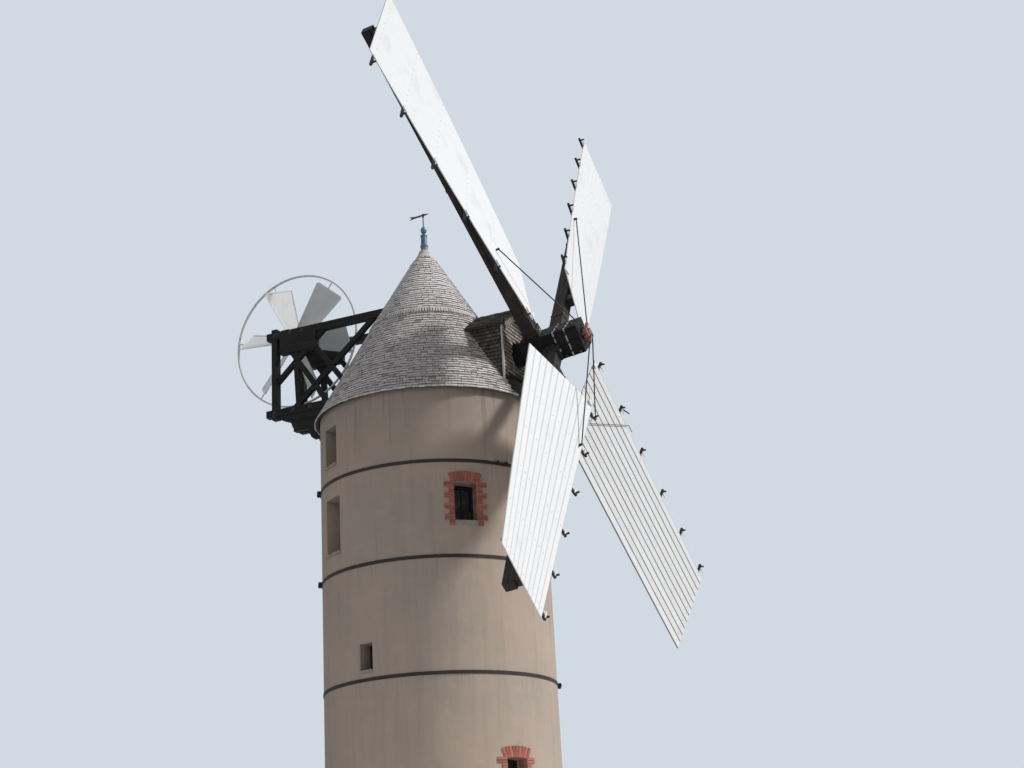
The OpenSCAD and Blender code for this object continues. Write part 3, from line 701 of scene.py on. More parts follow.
nodeFinishes = (
    (limeRender, "wall_front_left", "wall_front_right", "wall_right", "wall_rear_right", "wall_rear",
     "wall_left"),
    (sillStone, "ground_floor", "stone_sills"), (loftPlanks, "upper_floors"), (mortarBed, "brick_surrounds"),
    (hoopIron, "iron_hoops"), (sashTimber, "window_frames"), (dustyPane, "window_panes"),
    (joineryWood, "door"), (frameTimber, "curb_ring", "cap_ring", "cap_frame"),
    (underRoof, "cap_roof_left", "cap_roof_right", "cap_roof_top", "dormer_left_cheek", "dormer_right_cheek",
     "dormer_front", "dormer_roof"), (finialZinc, "finial"), (paleZinc, "corner_strips"),
    (galleryTimber, "gallery_truss_left", "gallery_truss_right", "gallery_brackets", "gallery_floor"),
    (blackIron, "fan_bearings", "weathervane", "fan_hub", "sail_arms", "control_rods"), (ringIron, "fan_rim"),
    (fanWhite, "fan_blades"), (headTimber, "windshaft"), (stockTimberA, "stock_a"), (stockTimberB, "stock_b"),
    (sailBoardPaint, "sail_boards_1", "sail_boards_2", "sail_boards_3", "sail_boards_4"),
    (linkRed, "hub_linkage"),
)


def dressNodes(finishes):
    for mat, *names in finishes:
        for name in names:
            data = millNodes[name].data
            data.materials.clear()
            data.materials.append(mat)


dressNodes(nodeFinishes)
print("mill: finishes made")

# small helpers for geometry trees


def together(*parts):
    made = place("GeometryNodeJoinGeometry")
    for part in parts:
        feed(made.node.inputs[0], part)
    return made


def stored(geometry, name, value, domain="POINT", dataType="FLOAT"):
    return place("GeometryNodeStoreNamedAttribute", data_type=dataType, domain=domain, Geometry=geometry,
                 Name=name, Value=value)


def shaken(seed):
    # three random shares from -1 to 1
    return separate(place("FunctionNodeRandomValue", data_type="FLOAT_VECTOR", Min=(-1.0, -1.0, -1.0),
                          Max=(1.0, 1.0, 1.0), Seed=seed)["Value"])


def toned(instances, seed):
    # each instance gets a random tone from 0 to 1
    tone = place("FunctionNodeRandomValue", data_type="FLOAT", Seed=seed)
    return stored(instances, "tone", tone[1], "INSTANCE")


def ended(tree, geometry, given, result):
    # every tree ends by realizing its instances and giving them their finish
    solid = place("GeometryNodeRealizeInstances", Geometry=geometry)
    feed(result["Geometry"], place("GeometryNodeSetMaterial", Geometry=solid, Material=given["Finish"]))
    return tree


# shingled cap

capRoof = {
    "Eave Radius": 2.614, "Eave Height": 9.79, "Apex Height": 14.22, "Rows": 32, "First Row": 0.0,
    "Exposure": 0.0815, "Width": 0.14, "Length": 0.17, "Thickness": 0.022, "Lay": 0.17, "Gap": 0.005,
    "Spread": 0.014, "Seed": 3,
}
capPeak = {"Eave Radius": 2.672, "Apex Height": 14.2, "First Row": 33.2, "Rows": 24, "Seed": 7}
capCollar = {"Eave Radius": 2.672, "Rows": 1, "First Row": 31.75, "Width": 0.062, "Gap": 0.018,
             "Length": 0.125, "Lay": -0.02, "Thickness": 0.024, "Spread": 0.004, "Seed": 11,
             "Finish": collarShingle}
dormerPlace = {"half": 0.8, "ridge": 12.09, "fall": 0.66875}     # the dormer stands through the roof here


def risen(block, length):
    # keeps each shingle's own height, 0 at its butt and 1 at its top
    z = separate(place("GeometryNodeInputPosition"))[2]
    return stored(block, "rise", z / length + 0.5)


def buildConeTree():
    # rows of shingles round a cone, one row for each turn of the repeat zone
    tree, given, result = newTree("shingledCone", "GeometryNodeTree", {
        "Eave Radius": 2.6, "Eave Height": 9.8, "Apex Height": 14.2, "Rows": 30, "First Row": 0.0,
        "Exposure": 0.11, "Width": 0.12, "Length": 0.24, "Thickness": 0.016, "Lay": 0.07, "Gap": 0.006,
        "Spread": 0.02, "Seed": 1, "Dormer Half": 0.0, "Dormer Ridge": 0.0, "Dormer Fall": 0.67,
        "Finish": stuff}, {"Geometry": shape})
    rise = given["Apex Height"] - given["Eave Height"]
    slope = calc("ARCTAN2", given["Eave Radius"], rise)
    loopIn = tree.nodes.new("GeometryNodeRepeatInput")
    loopOut = tree.nodes.new("GeometryNodeRepeatOutput")
    loopIn.pair_with_output(loopOut)
    loopOut.repeat_items.new("FLOAT", "Row")
    feed(loopIn.inputs["Iterations"], given["Rows"])
    feed(loopIn.inputs["Row"], given["First Row"])
    row = Wire(loopIn, "Row")
    height = given["Eave Height"] + row * (given["Exposure"] * calc("COSINE", slope))
    radius = given["Eave Radius"] * ((given["Apex Height"] - height) / rise)
    ring = place("GeometryNodeCurvePrimitiveCircle", Resolution=120, Radius=radius)
    around = radius * (2 * math.pi)
    count = larger(6.0, calc("FLOOR", around / given["Width"]))
    spots = place("GeometryNodeCurveToPoints", mode="COUNT", Curve=ring, Count=count)
    shifted = place("GeometryNodeTransform", Geometry=spots, Translation=combine(0.0, 0.0, height),
                    Rotation=combine(0.0, 0.0, row * 2.4))
    # shingles that would stand inside the dormer are left out
    x, y, z = separate(place("GeometryNodeInputPosition"))
    inWidth = abs(x) < given["Dormer Half"]
    roofLine = given["Dormer Ridge"] - abs(x) * given["Dormer Fall"]
    inside = inWidth * (y < 0.0) * (z < roofLine)
    kept = place("GeometryNodeDeleteGeometry", Geometry=shifted, Selection=inside)
    angle = calc("ARCTAN2", y, x)
    sx, sy, sz = shaken(given["Seed"] + row)
    lean = slope + given["Lay"] + sx * 0.018
    turn = combine(lean, sy * 0.02, angle - math.pi / 2)
    block = place("GeometryNodeMeshCube", Size=combine(given["Width"] - given["Gap"], given["Thickness"],
                                                       given["Length"]))
    # the butt end is the block's foot
    stood = place("GeometryNodeTransform", Geometry=risen(block, given["Length"]),
                  Translation=combine(0.0, 0.0, given["Length"] * 0.5))
    sized = combine(0.97 + sz * 0.05, 1.0 + sy * 0.25, 1.0)
    laid = place("GeometryNodeInstanceOnPoints", Points=kept, Instance=stood, Rotation=turn, Scale=sized)
    slid = place("GeometryNodeTranslateInstances", Instances=laid,
                 Translation=combine(0.0, 0.0, sx * given["Spread"]))
    marked = toned(slid, row * 7.0 + given["Seed"])
    feed(loopOut.inputs["Geometry"], together(Wire(loopIn, "Geometry"), marked))
    feed(loopOut.inputs["Row"], row + 1.0)
    return ended(tree, Wire(loopOut, "Geometry"), given, result)


coneTree = buildConeTree()


def layCapShingles(c, peak, collar, d):
    # the upper cone stands a little proud, with an upright collar of narrow shingles under its first row
    common = {**c, "Dormer Half": d["half"] - 0.03, "Dormer Ridge": d["ridge"], "Dormer Fall": d["fall"],
              "Finish": roofShingle}
    for name, own in (("capShingles", {}), ("peakShingles", peak), ("collarShingles", collar)):
        settle(realised(name, coneTree, {**common, **own}), "cap", "shingles")


layCapShingles(capRoof, capPeak, capCollar, dormerPlace)
print("mill: cap shingled")

# shingled faces of the dormer


def buildFaceTree():
    # staggered rows on a flat face; points outside the cone's and the gable's lines are left out
    tree, given, result = newTree("shingledFace", "GeometryNodeTree", {
        "Columns": 10, "Rows": 10, "Width": 0.12, "Exposure": 0.11, "Length": 0.22, "Thickness": 0.014,
        "Lay": 0.07, "Corner": arrow, "Across": arrow, "Up": arrow, "Facing": arrow, "Low": arrow,
        "High": arrow, "Cone Radius": 2.6, "Cone Foot": 9.8, "Cone Apex": 14.2, "Ridge": 99.0, "Fall": 0.0,
        "Shaft Centre": arrow, "Shaft Radius": 0.0, "Seed": 1, "Finish": stuff}, {"Geometry": shape})
    cells = place("GeometryNodeMeshGrid", Size_X=1.0, Size_Y=1.0, Vertices_X=given["Columns"],
                  Vertices_Y=given["Rows"])
    px, py = separate(place("GeometryNodeInputPosition"))[:2]
    column = calc("ROUND", (px + 0.5) * (given["Columns"] - 1.0))
    line = calc("ROUND", (py + 0.5) * (given["Rows"] - 1.0))
    odd = line % 2.0
    side = (column + odd * 0.5) * given["Width"]
    climb = line * given["Exposure"]
    spot = vec("ADD", given["Corner"], vec("ADD", scaled(given["Across"], side), scaled(given["Up"], climb)))
    laidOut = place("GeometryNodeSetPosition", Geometry=cells, Position=spot)
    q = place("GeometryNodeInputPosition")
    x, y, z = separate(q)
    out = None
    for value, low, high in zip((x, y, z), separate(given["Low"]), separate(given["High"])):
        beyond = larger(value < low, value > high)
        out = beyond if out is None else larger(out, beyond)
    reach = calc("SQRT", x * x + y * y)
    cone = given["Cone Radius"] * ((given["Cone Apex"] - z) / (given["Cone Apex"] - given["Cone Foot"]))
    out = larger(out, reach < cone)
    gable = given["Ridge"] - abs(x) * given["Fall"]
    out = larger(out, z > gable)
    fromShaft = vec("DISTANCE", q, given["Shaft Centre"])
    out = larger(out, fromShaft < given["Shaft Radius"])
    kept = place("GeometryNodeDeleteGeometry", Geometry=laidOut, Selection=out)
    sx, sy, sz = shaken(given["Seed"])
    block = place("GeometryNodeMeshCube", Size=combine(given["Width"] * 0.955, given["Thickness"],
                                                       given["Length"]))
    stood = place("GeometryNodeTransform", Geometry=risen(block, given["Length"]),
                  Translation=combine(0.0, 0.0, given["Length"] * 0.5))
    leant = place("GeometryNodeTransform", Geometry=stood, Rotation=combine(given["Lay"], 0.0, 0.0))
    laid = place("GeometryNodeInstanceOnPoints", Points=kept, Instance=leant,
                 Rotation=vec("ADD", given["Facing"], combine(sx * 0.02, sy * 0.015, 0.0)),
                 Scale=combine(0.97 + sz * 0.04, 1.0 + sy * 0.25, 1.0 + sx * 0.06))
    marked = toned(laid, given["Seed"] + 5.0)
    return ended(tree, marked, given, result)


faceTree = buildFaceTree()

dormerFaces = {"face": 2.225, "half": 0.8, "ridge": 12.09, "fall": 0.66875, "width": 0.12, "exposure": 0.088,
               "overhang": 0.07, "cheekRidge": 11.46 + 0.535}


def shingleDormer(c):
    slopeAngle = math.atan(c["fall"])
    common = {"Width": c["width"], "Exposure": c["exposure"], "Length": 0.18, "Thickness": 0.02, "Lay": 0.13,
              "Cone Radius": 2.62, "Cone Foot": 9.8, "Cone Apex": 14.2, "Ridge": c["ridge"] - 0.16,
              "Fall": c["fall"], "Low": (-9, -9, 0), "High": (9, 9, 99)}
    pieces = []
    # the gable looks forwards, so its outward side is -Y
    pieces.append(realised("gableShingles", faceTree, {
        **common, "Columns": 15, "Rows": 24, "Corner": (-c["half"] + 0.05, -c["face"] - 0.006, 10.0),
        "Across": (1, 0, 0), "Up": (0, 0, 1), "Facing": (0, 0, math.pi), "Low": (-c["half"], -9, 0),
        "High": (c["half"], 9, 99), "Shaft Centre": (0, -c["face"], 10.95), "Shaft Radius": 0.31,
        "Seed": 21, "Finish": gableShingle}))
    for side, seed in ((-1, 31), (1, 41)):
        corner = (side * (c["half"] + 0.006), -c["face"] + 0.05, 10.0)
        pieces.append(realised("cheekFace", faceTree, {
            **common, "Columns": 12, "Rows": 22, "Corner": corner, "Across": (0, 1, 0), "Up": (0, 0, 1),
            "Facing": (0, 0, -side * math.pi / 2), "Ridge": c["cheekRidge"], "Seed": seed,
            "Finish": cheekShingle}))
    settle(pieces[0], "cap", "shingles")
    settle(joined("cheekShingles", pieces[1:]), "cap", "shingles")
    pieces = []
    eaveX = c["half"] + c["overhang"]
    for side, seed in ((-1, 51), (1, 61)):
        foot = c["ridge"] - c["fall"] * eaveX
        up = Vector((-side * math.cos(slopeAngle), 0, math.sin(slopeAngle)))
        # local Z climbs the slope and local Y looks out of it
        outward = Vector((side * math.sin(slopeAngle), 0, math.cos(slopeAngle)))
        climb = Matrix((Vector((0, -side, 0)), outward, up)).transposed()
        corner = (side * (eaveX + 0.01), -c["face"] - c["overhang"] + 0.045, foot + 0.008)
        pieces.append(realised("roofFace", faceTree, {
            **common, "Columns": 13, "Rows": 11, "Corner": corner, "Across": (0, 1, 0), "Up": tuple(up),
            "Facing": tuple(climb.to_euler()), "Ridge": 99.0, "Fall": 0.0,
            "Low": (-9, -c["face"] - c["overhang"], 0), "Seed": seed, "Finish": mossShingle}))
    settle(joined("dormerRoofShingles", pieces), "cap", "shingles")


shingleDormer(dormerFaces)

dormerTrim = {"half": 0.8, "face": 2.225, "foot": 10.19, "head": 11.47, "stripOut": 0.034, "stripIn": 0.012,
              "ridge": 12.03, "fall": 0.66875, "teeth": 10, "firstTooth": 0.06, "toothStep": 0.088,
              "toothHalf": 0.026, "toothOut": (-0.066, -0.022), "toothDrop": 0.13, "toothStagger": 0.02}


def trimDormer(c):
    # a thin lead strip up each corner, and shingle ends that show under the front edge of its roof
    bm = bmesh.new()
    for side in (-1, 1):
        x = sorted((side * (c["half"] - c["stripIn"]), side * (c["half"] + c["stripOut"])))
        boxInto(bm, (x[0], -c["face"] - c["stripOut"], c["foot"]),
                (x[1], -c["face"] + c["stripIn"], c["head"]), chamfer=0.008)
    settle(meshPiece("cornerStrips", bm, paleZinc), "cap", "zinc", "corner_strips")
    bm = bmesh.new()
    slope, half, (near, far) = math.atan(c["fall"]), c["toothHalf"], c["toothOut"]
    for side in (-1, 1):
        for n in range(c["teeth"]):
            along = c["firstTooth"] + n * c["toothStep"]
            x, z = side * along * math.cos(slope), c["ridge"] - along * math.sin(slope)
            m = Matrix.Translation((x, -c["face"], z)) @ Matrix.Rotation(side * slope, 4, "Y")
            drop = -c["toothDrop"] - c["toothStagger"] * (n % 2)
            boxInto(bm, (-half, near, drop), (half, far, 0.0), m, 0.006)
    settle(meshPiece("vergeShingles", bm, collarShingle), "cap", "shingles")


trimDormer(dormerTrim)

peakSkirt = {
    # radius and height of each ring, then how far and how often the mortar swells
    "profile": ((0.274, 13.745), (0.215, 13.83), (0.155, 13.93), (0.118, 14.03), (0.098, 14.045)),
    "sides": 40, "swell": 0.025, "swells": 3,
}


def beddedPeak(c):
    # mortar that beds the finial's foot on the last row of shingles
    bm = bmesh.new()
    rings = []
    for ringRadius, z in c["profile"]:
        ring = []
        for a in circleOf(c["sides"]):
            r = ringRadius * (1 + c["swell"] * math.sin(c["swells"] * a))
            ring.append(bm.verts.new((r * math.cos(a), r * math.sin(a), z)))
        rings.append(ring)
    for low, high in zip(rings, rings[1:]):
        bridge(bm, low, high)
    bm.faces.new(list(reversed(rings[0])))
    bm.faces.new(rings[-1])
    settle(meshPiece("peakMortar", bm, peakMortar), "cap", "shingles")


beddedPeak(peakSkirt)
print("mill: dormer shingled")

# sails

sailShape = {
    "boards": 11, "stations": 25, "thickness": 0.02, "groove": 0.055,
    # for each of the four sails
    # wear is each sail's strength of painted shade in its joints, which also scales how much its boards
    # differ in tone
    "grooveDepths": (0.0008, 0.0012, 0.009, 0.005), "wear": (0.03, 0.06, 1.0, 0.45),
    "bows": (0.0012, 0.002, 0.005, 0.004),
    # heel, middle and tip values along the sail, in metres
    "hookX": (-1.004, -0.990, -0.937), "freeX": (1.096, 1.162, 1.161),
    "hookY": (-0.603, -0.440, -0.330), "freeY": (-0.056, -0.149, -0.222),
    "hookZ": (1.284, 8.028), "freeZ": (1.620, 8.332),
    # each sail's own turn about its stock, in degrees, at the heel and at the tip
    "heelWedges": (-2.4, -1.3, 4.3, -2.0), "tipWedges": (-6.7, 1.9, 15.9, -9.6),
    "armStations": (0.04, 0.229, 0.42, 0.612, 0.796, 0.973),
}


def curveTerms(heel, middle, tip):
    # start, slope and curve of the parabola through three evenly spaced values
    return heel, -3 * heel + 4 * middle - tip, 2 * heel - 4 * middle + 2 * tip


def edgeTerms(xs, ys, zs):
    tx, ty = curveTerms(*xs), curveTerms(*ys)
    return (Vector((tx[0], ty[0], zs[0])), Vector((tx[1], ty[1], zs[1] - zs[0])), Vector((tx[2], ty[2], 0)))


def buildSailTree():
    # boards side by side between two curved edges, with a groove at each joint
    tree, given, result = newTree("boardedSail", "GeometryNodeTree", {
        "Boards": 11, "Stations": 25, "Thickness": 0.02, "Groove": 0.06, "Groove Depth": 0.008,
        "Hook Start": arrow, "Hook Slope": arrow, "Hook Curve": arrow, "Free Start": arrow,
        "Free Slope": arrow, "Free Curve": arrow, "Heel Wedge": 0.0, "Tip Wedge": 0.0, "Bow": 0.004,
        "Wear": 1.0, "Seed": 1, "Finish": stuff}, {"Geometry": shape})
    columns = given["Boards"] * 3.0 + 1.0
    sheet = place("GeometryNodeMeshGrid", Size_X=1.0, Size_Y=1.0, Vertices_X=columns,
                  Vertices_Y=given["Stations"])
    px, py = separate(place("GeometryNodeInputPosition"))[:2]
    t = py + 0.5
    column = calc("ROUND", (px + 0.5) * (given["Boards"] * 3.0))
    part = (column + 0.001) % 3.0
    board = calc("FLOOR", (column + 0.001) / 3.0)
    isJoint = part < 0.5
    isLast = part > 1.5
    isFirst = 1.0 - larger(isJoint, isLast)
    inner = isFirst * given["Groove"] + isLast * (1.0 - given["Groove"])
    u = (board + inner) / given["Boards"]

    def edgePoint(label):
        high = vec("ADD", scaled(given[label + " Curve"], t), given[label + " Slope"])
        return vec("ADD", scaled(high, t), given[label + " Start"])

    hook, free = edgePoint("Hook"), edgePoint("Free")
    widthWay = vec("SUBTRACT", free, hook)
    wx, wy = separate(widthWay)[:2]
    back = vec("NORMALIZE", combine(wy * -1.0, wx, 0.0))
    onSheet = vec("ADD", hook, scaled(widthWay, u))
    # joints lie back a little, and each board is a few millimetres out of line with the next
    uneven = place("ShaderNodeTexNoise", noise_dimensions="4D", W=board * 3.7 + given["Seed"], Scale=1.3,
                   Detail=1.0, Vector=combine(0.0, 0.0, t * 5.0))
    lift = (uneven - 0.5) * given["Bow"]
    depth = isJoint * given["Groove Depth"] + (1.0 - isJoint) * lift
    flatSpot = vec("ADD", onSheet, scaled(back, depth))
    # the whole section is then turned about the stock by its own wedge
    wedge = given["Heel Wedge"] + t * (given["Tip Wedge"] - given["Heel Wedge"])
    spot = place("ShaderNodeVectorRotate", rotation_type="Z_AXIS", Vector=flatSpot, Angle=wedge)
    backTurned = place("ShaderNodeVectorRotate", rotation_type="Z_AXIS", Vector=back, Angle=wedge)
    # the board's own map: across, along and tone, kept on the faces' corners
    gx = separate(place("GeometryNodeInputPosition"))[0]
    ownBoard = place("GeometryNodeFieldOnDomain", data_type="FLOAT", domain="FACE",
                     Value=calc("FLOOR", (gx + 0.5) * given["Boards"]))
    throughBoard = u * given["Boards"] - ownBoard
    toneOf = place("ShaderNodeTexWhiteNoise", noise_dimensions="2D",
                   Vector=combine(ownBoard, given["Seed"], 0.0))
    mapped = stored(sheet, "boardMap", combine(throughBoard, t, toneOf["Value"]), "CORNER", "FLOAT_VECTOR")
    keptBack = stored(mapped, "backWay", backTurned, "POINT", "FLOAT_VECTOR")
    bent = place("GeometryNodeSetPosition", Geometry=keptBack, Position=spot)
    backWay = place("GeometryNodeInputNamedAttribute", data_type="FLOAT_VECTOR", Name="backWay")
    grown = place("GeometryNodeExtrudeMesh", mode="FACES", Mesh=bent, Offset=backWay,
                  Offset_Scale=given["Thickness"], Individual=False)
    closed = place("GeometryNodeMergeByDistance", Geometry=together(grown, bent), Distance=0.0002)
    # the sail's strength of painted joint shade, kept on the mesh for its finish
    worn = stored(closed, "wear", given["Wear"])
    return ended(tree, worn, given, result)


sailTree = buildSailTree()


def sailFrame(k, wedge=0.0):
    return rotorMatrix(k, 0.0 if k % 2 == 0 else -rotorPlace["stockGap"], wedge)


def wedgeAt(c, k, t):
    return c["heelWedges"][k] + (c["tipWedges"][k] - c["heelWedges"][k]) * t


def sailPoint(c, u, t):
    hook = edgeTerms(c["hookX"], c["hookY"], c["hookZ"])
    free = edgeTerms(c["freeX"], c["freeY"], c["freeZ"])
    a = hook[0] + hook[1] * t + hook[2] * t * t
    b = free[0] + free[1] * t + free[2] * t * t
    return a.lerp(b, u)


def boardSails(c):
    hook = edgeTerms(c["hookX"], c["hookY"], c["hookZ"])
    free = edgeTerms(c["freeX"], c["freeY"], c["freeZ"])
    for k in range(4):
        sail = realised("boardedSail" + str(k + 1), sailTree, {
            "Boards": c["boards"], "Stations": c["stations"], "Thickness": c["thickness"],
            "Groove": c["groove"], "Groove Depth": c["grooveDepths"][k], "Wear": c["wear"][k],
            "Hook Start": tuple(hook[0]), "Hook Slope": tuple(hook[1]), "Hook Curve": tuple(hook[2]),
            "Free Start": tuple(free[0]), "Free Slope": tuple(free[1]), "Free Curve": tuple(free[2]),
            "Heel Wedge": math.radians(c["heelWedges"][k]), "Tip Wedge": math.radians(c["tipWedges"][k]),
            "Bow": c["bows"][k], "Seed": 5 + k, "Finish": sailBoardPaint})
        sail.data.transform(sailFrame(k))
        bm = bmesh.new()
        bm.from_mesh(sail.data)
        bmesh.ops.recalc_face_normals(bm, faces=bm.faces)
        bm.to_mesh(sail.data)
        bm.free()
        settle(sail, "sails", "sail_paint", "sail_boards_" + str(k + 1))


boardSails(sailShape)
print("mill: sails boarded")

# brick surrounds

surrounds = {
    "wallFoot": 2.5, "wallHead": 2.49, "wallHeight": 9.85, "proud": 0.013, "depth": 0.236, "joint": 0.011,
    "long": 0.215, "short": 0.115, "tooth": 0.118, "archBrick": 0.22, "archLean": 0.84, "archSag": 0.034,
    "sunk": 0.008, "overOpening": 0.06, "clear": 0.003, "bedded": 0.004, "wideFrom": 0.7,
    # azimuth, sill height, clear width, clear height
    "openings": ((-137.7, 6.8897, 0.5, 0.83), (-117.3, 1.24, 0.5, 0.83), (42.3, 6.8897, 0.5, 0.83),
                 (62.2, 0.0, 0.95, 1.95)),
}


def buildBrickTree():
    # one column of bricks beside an opening, or one row over it, then wrapped on to the round wall
    tree, given, result = newTree("brickColumn", "GeometryNodeTree", {
        "Count": 9, "Start": arrow, "Step": arrow, "Side": 1.0, "Long": 0.215, "Short": 0.115,
        "Height": 0.09, "Depth": 0.24, "Fan": 0.0, "Sag": 0.0, "Azimuth": 0.0, "Wall Radius": 2.5,
        "Wall Fall": 0.001, "Seed": 1, "Finish": stuff}, {"Geometry": shape})
    line = place("GeometryNodeMeshLine", mode="OFFSET", Count=given["Count"], Start_Location=given["Start"],
                 Offset=given["Step"])
    index = place("GeometryNodeInputIndex")
    # two thin courses make one step of the toothing
    odd = calc("FLOOR", (index + 0.001) * 0.5) % 2.0
    width = given["Long"] + odd * (given["Short"] - given["Long"])
    sx, sy, sz = shaken(given["Seed"])
    fromMiddle = index - (given["Count"] - 1.0) * 0.5
    fan = given["Fan"] * fromMiddle
    sag = given["Sag"] * (fromMiddle * fromMiddle)
    brick = place("GeometryNodeMeshCube", Size=(1.0, 1.0, 1.0), Vertices_X=5)
    centred = width * 0.5 * given["Side"]
    laid = place("GeometryNodeInstanceOnPoints", Points=line, Instance=brick,
                 Rotation=combine(0.0, fan, sy * 0.008),
                 Scale=combine(width, given["Depth"] + sx * 0.004, given["Height"] + sz * 0.002))
    slid = place("GeometryNodeTranslateInstances", Instances=laid, Local_Space=False,
                 Translation=combine(centred, 0.0, sag * -1.0))
    marked = toned(slid, given["Seed"] + 3.0)
    solid = place("GeometryNodeRealizeInstances", Geometry=marked)
    # X turns into an angle round the tower, Y into depth behind the face
    x, y, z = separate(place("GeometryNodeInputPosition"))
    radius = given["Wall Radius"] - z * given["Wall Fall"]
    angle = given["Azimuth"] + x / radius
    out = radius + y
    wrapped = place("GeometryNodeSetPosition", Geometry=solid,
                    Position=combine(out * calc("COSINE", angle), out * calc("SINE", angle), z))
    return ended(tree, wrapped, given, result)


brickTree = buildBrickTree()


def layBricks(c):
    pieces = []
    for n, (azimuth, sill, width, height) in enumerate(c["openings"]):
        courses = 2 * math.floor((height + c["overOpening"]) / c["tooth"] + 0.5)
        step = c["tooth"] / 2
        # the doorway's jambs stop at the ground
        courses = min(courses, math.floor((sill + height) / step))
        fall = (c["wallFoot"] - c["wallHead"]) / c["wallHeight"]
        common = {"Wall Radius": c["wallFoot"], "Wall Fall": fall, "Azimuth": math.radians(azimuth),
                  "Depth": c["depth"], "Finish": surroundBrick}
        inY = c["proud"] + c["sunk"] - c["depth"] / 2
        for side in (-1, 1):
            pieces.append(realised("jambBricks", brickTree, {
                **common, "Count": courses, "Start": (side * (width / 2 + c["clear"]), inY,
                                                      sill + height - step / 2), "Step": (0, 0, -step),
                "Side": float(side), "Long": c["long"] - c["bedded"], "Short": c["short"] - c["bedded"],
                "Height": step - c["joint"], "Seed": 10 * n + side}))
        # arch of bricks that fan out over the opening
        count = 9 if width < c["wideFrom"] else 15
        lean = c["archLean"] / (count - 1)
        foot = (width + c["overOpening"]) / count
        step = foot + c["archBrick"] / 2 * lean
        corner = (-step * (count - 1) / 2, inY, sill + height + c["archBrick"] / 2 + 0.002)
        pieces.append(realised("archBricks", brickTree, {
            **common, "Count": count, "Start": corner, "Step": (step, 0, 0), "Side": 0.0,
            "Long": step - c["joint"], "Short": step - c["joint"], "Height": c["archBrick"], "Fan": lean,
            "Sag": c["archSag"] * 4 / (count - 1) ** 2, "Seed": 70 + n}))
    settle(joined("surroundBricks", pieces), "tower", "red_brick")


layBricks(surrounds)
print("mill: surrounds bricked")

# bolts, nuts and straps


def buildBoltTree():
    # a hexagonal head with a washer on every point, standing along the point's own direction
    tree, given, result = newTree("boltHeads", "GeometryNodeTree", {
        "Geometry": shape, "Across": 0.04, "Height": 0.018, "Finish": stuff}, {"Geometry": shape})
    head = place("GeometryNodeMeshCylinder", Vertices=6, Radius=given["Across"] * 0.5, Depth=given["Height"])
    raised = place("GeometryNodeTransform", Geometry=head,
                   Translation=combine(0.0, 0.0, given["Height"] * 0.5))
    washer = place("GeometryNodeMeshCylinder", Vertices=12, Radius=given["Across"] * 0.85,
                   Depth=given["Height"] * 0.4)
    both = together(raised, washer)
    way = place("GeometryNodeInputNamedAttribute", data_type="FLOAT_VECTOR", Name="facing")
    turned = place("FunctionNodeAlignRotationToVector", axis="Z", Vector=way)
    laid = place("GeometryNodeInstanceOnPoints", Points=given["Geometry"], Instance=both, Rotation=turned)
    return ended(tree, laid, given, result)


boltTree = buildBoltTree()


def boltsAt(name, spots, across, height, finish):
    start = bpy.data.meshes.new(name + "Spots")
    start.from_pydata([tuple(p) for p, way in spots], [], [])
    facing = start.attributes.new("facing", "FLOAT_VECTOR", "POINT")
    for n, (p, way) in enumerate(spots):
        facing.data[n].vector = way
    return realised(name, boltTree, {"Across": across, "Height": height, "Finish": finish}, start)


headIron = {"half": 0.32, "strapWidth": 0.03, "strapThick": 0.009, "straps": (-0.5, -0.77),
            "strapBolts": (-0.2, 0.0, 0.2), "stockHalf": 0.15, "reach": 8.15, "taperX": 0.34, "taperY": 0.2,
            "stockBands": (0.42, 0.95, 4.3), "bandWidth": 0.06, "nutAcross": 0.032, "nutHeight": 0.018}


def headFace(quarter):
    # the frame of one face of the poll end, with Z out of it
    return rotorMatrix(0) @ rotation(2 * rotorPlace["park"], "Y") @ rotation(90 * quarter, "Y")


def stockSection(c, z):
    # half widths of a tapered stock at a distance from the shaft
    return [c["stockHalf"] * (1 - c[taper] * z / c["reach"]) for taper in ("taperX", "taperY")]


def bindHead(c):
    # flat straps round the poll end and iron bands round the stocks
    h, t, w = c["half"], c["strapThick"], c["strapWidth"]
    bm = bmesh.new()
    for y in c["straps"]:
        hoopInto(bm, h, h, t, y - w / 2, y + w / 2, headFace(0), alongY=True)
    settle(meshPiece("headStraps", bm, boltSteel), "sails", "black_iron")
    bm = bmesh.new()
    for k in range(4):
        for z in c["stockBands"]:
            hoopInto(bm, *stockSection(c, z), t, z, z + c["bandWidth"], sailFrame(k))
    settle(meshPiece("stockBands", bm, hoopIron), "sails", "black_iron")
    spots = []
    for y in c["straps"]:
        for s in c["strapBolts"]:
            for q in range(4):
                face = headFace(q)
                spots.append((face @ Vector((s, y, h + t)), face.to_3x3() @ Vector((0, 0, 1))))
    for k in range(4):
        m = sailFrame(k)
        for z in c["stockBands"]:
            hx, hy = (half + t for half in stockSection(c, z))
            for way in (Vector((0, -1, 0)), Vector((1, 0, 0)), Vector((-1, 0, 0)), Vector((0, 1, 0))):
                spots.append((m @ Vector((way.x * hx, way.y * hy, z + c["bandWidth"] / 2)), m.to_3x3() @ way))
    settle(boltsAt("headBolts", spots, c["nutAcross"], c["nutHeight"], blackIron), "sails", "black_iron")


bindHead(headIron)

boardBolts = {"across": 0.017, "height": 0.005}


def frontOf(a, b):
    # the way a sail faces, from its edges
    return Vector((b.y - a.y, a.x - b.x, 0)).normalized()


def sailEdges(sails, k, t):
    # the sail's frame there, and its points at the hooks and at the free edge
    return sailFrame(k, wedgeAt(sails, k, t)), sailPoint(sails, 0.0, t), sailPoint(sails, 1.0, t)


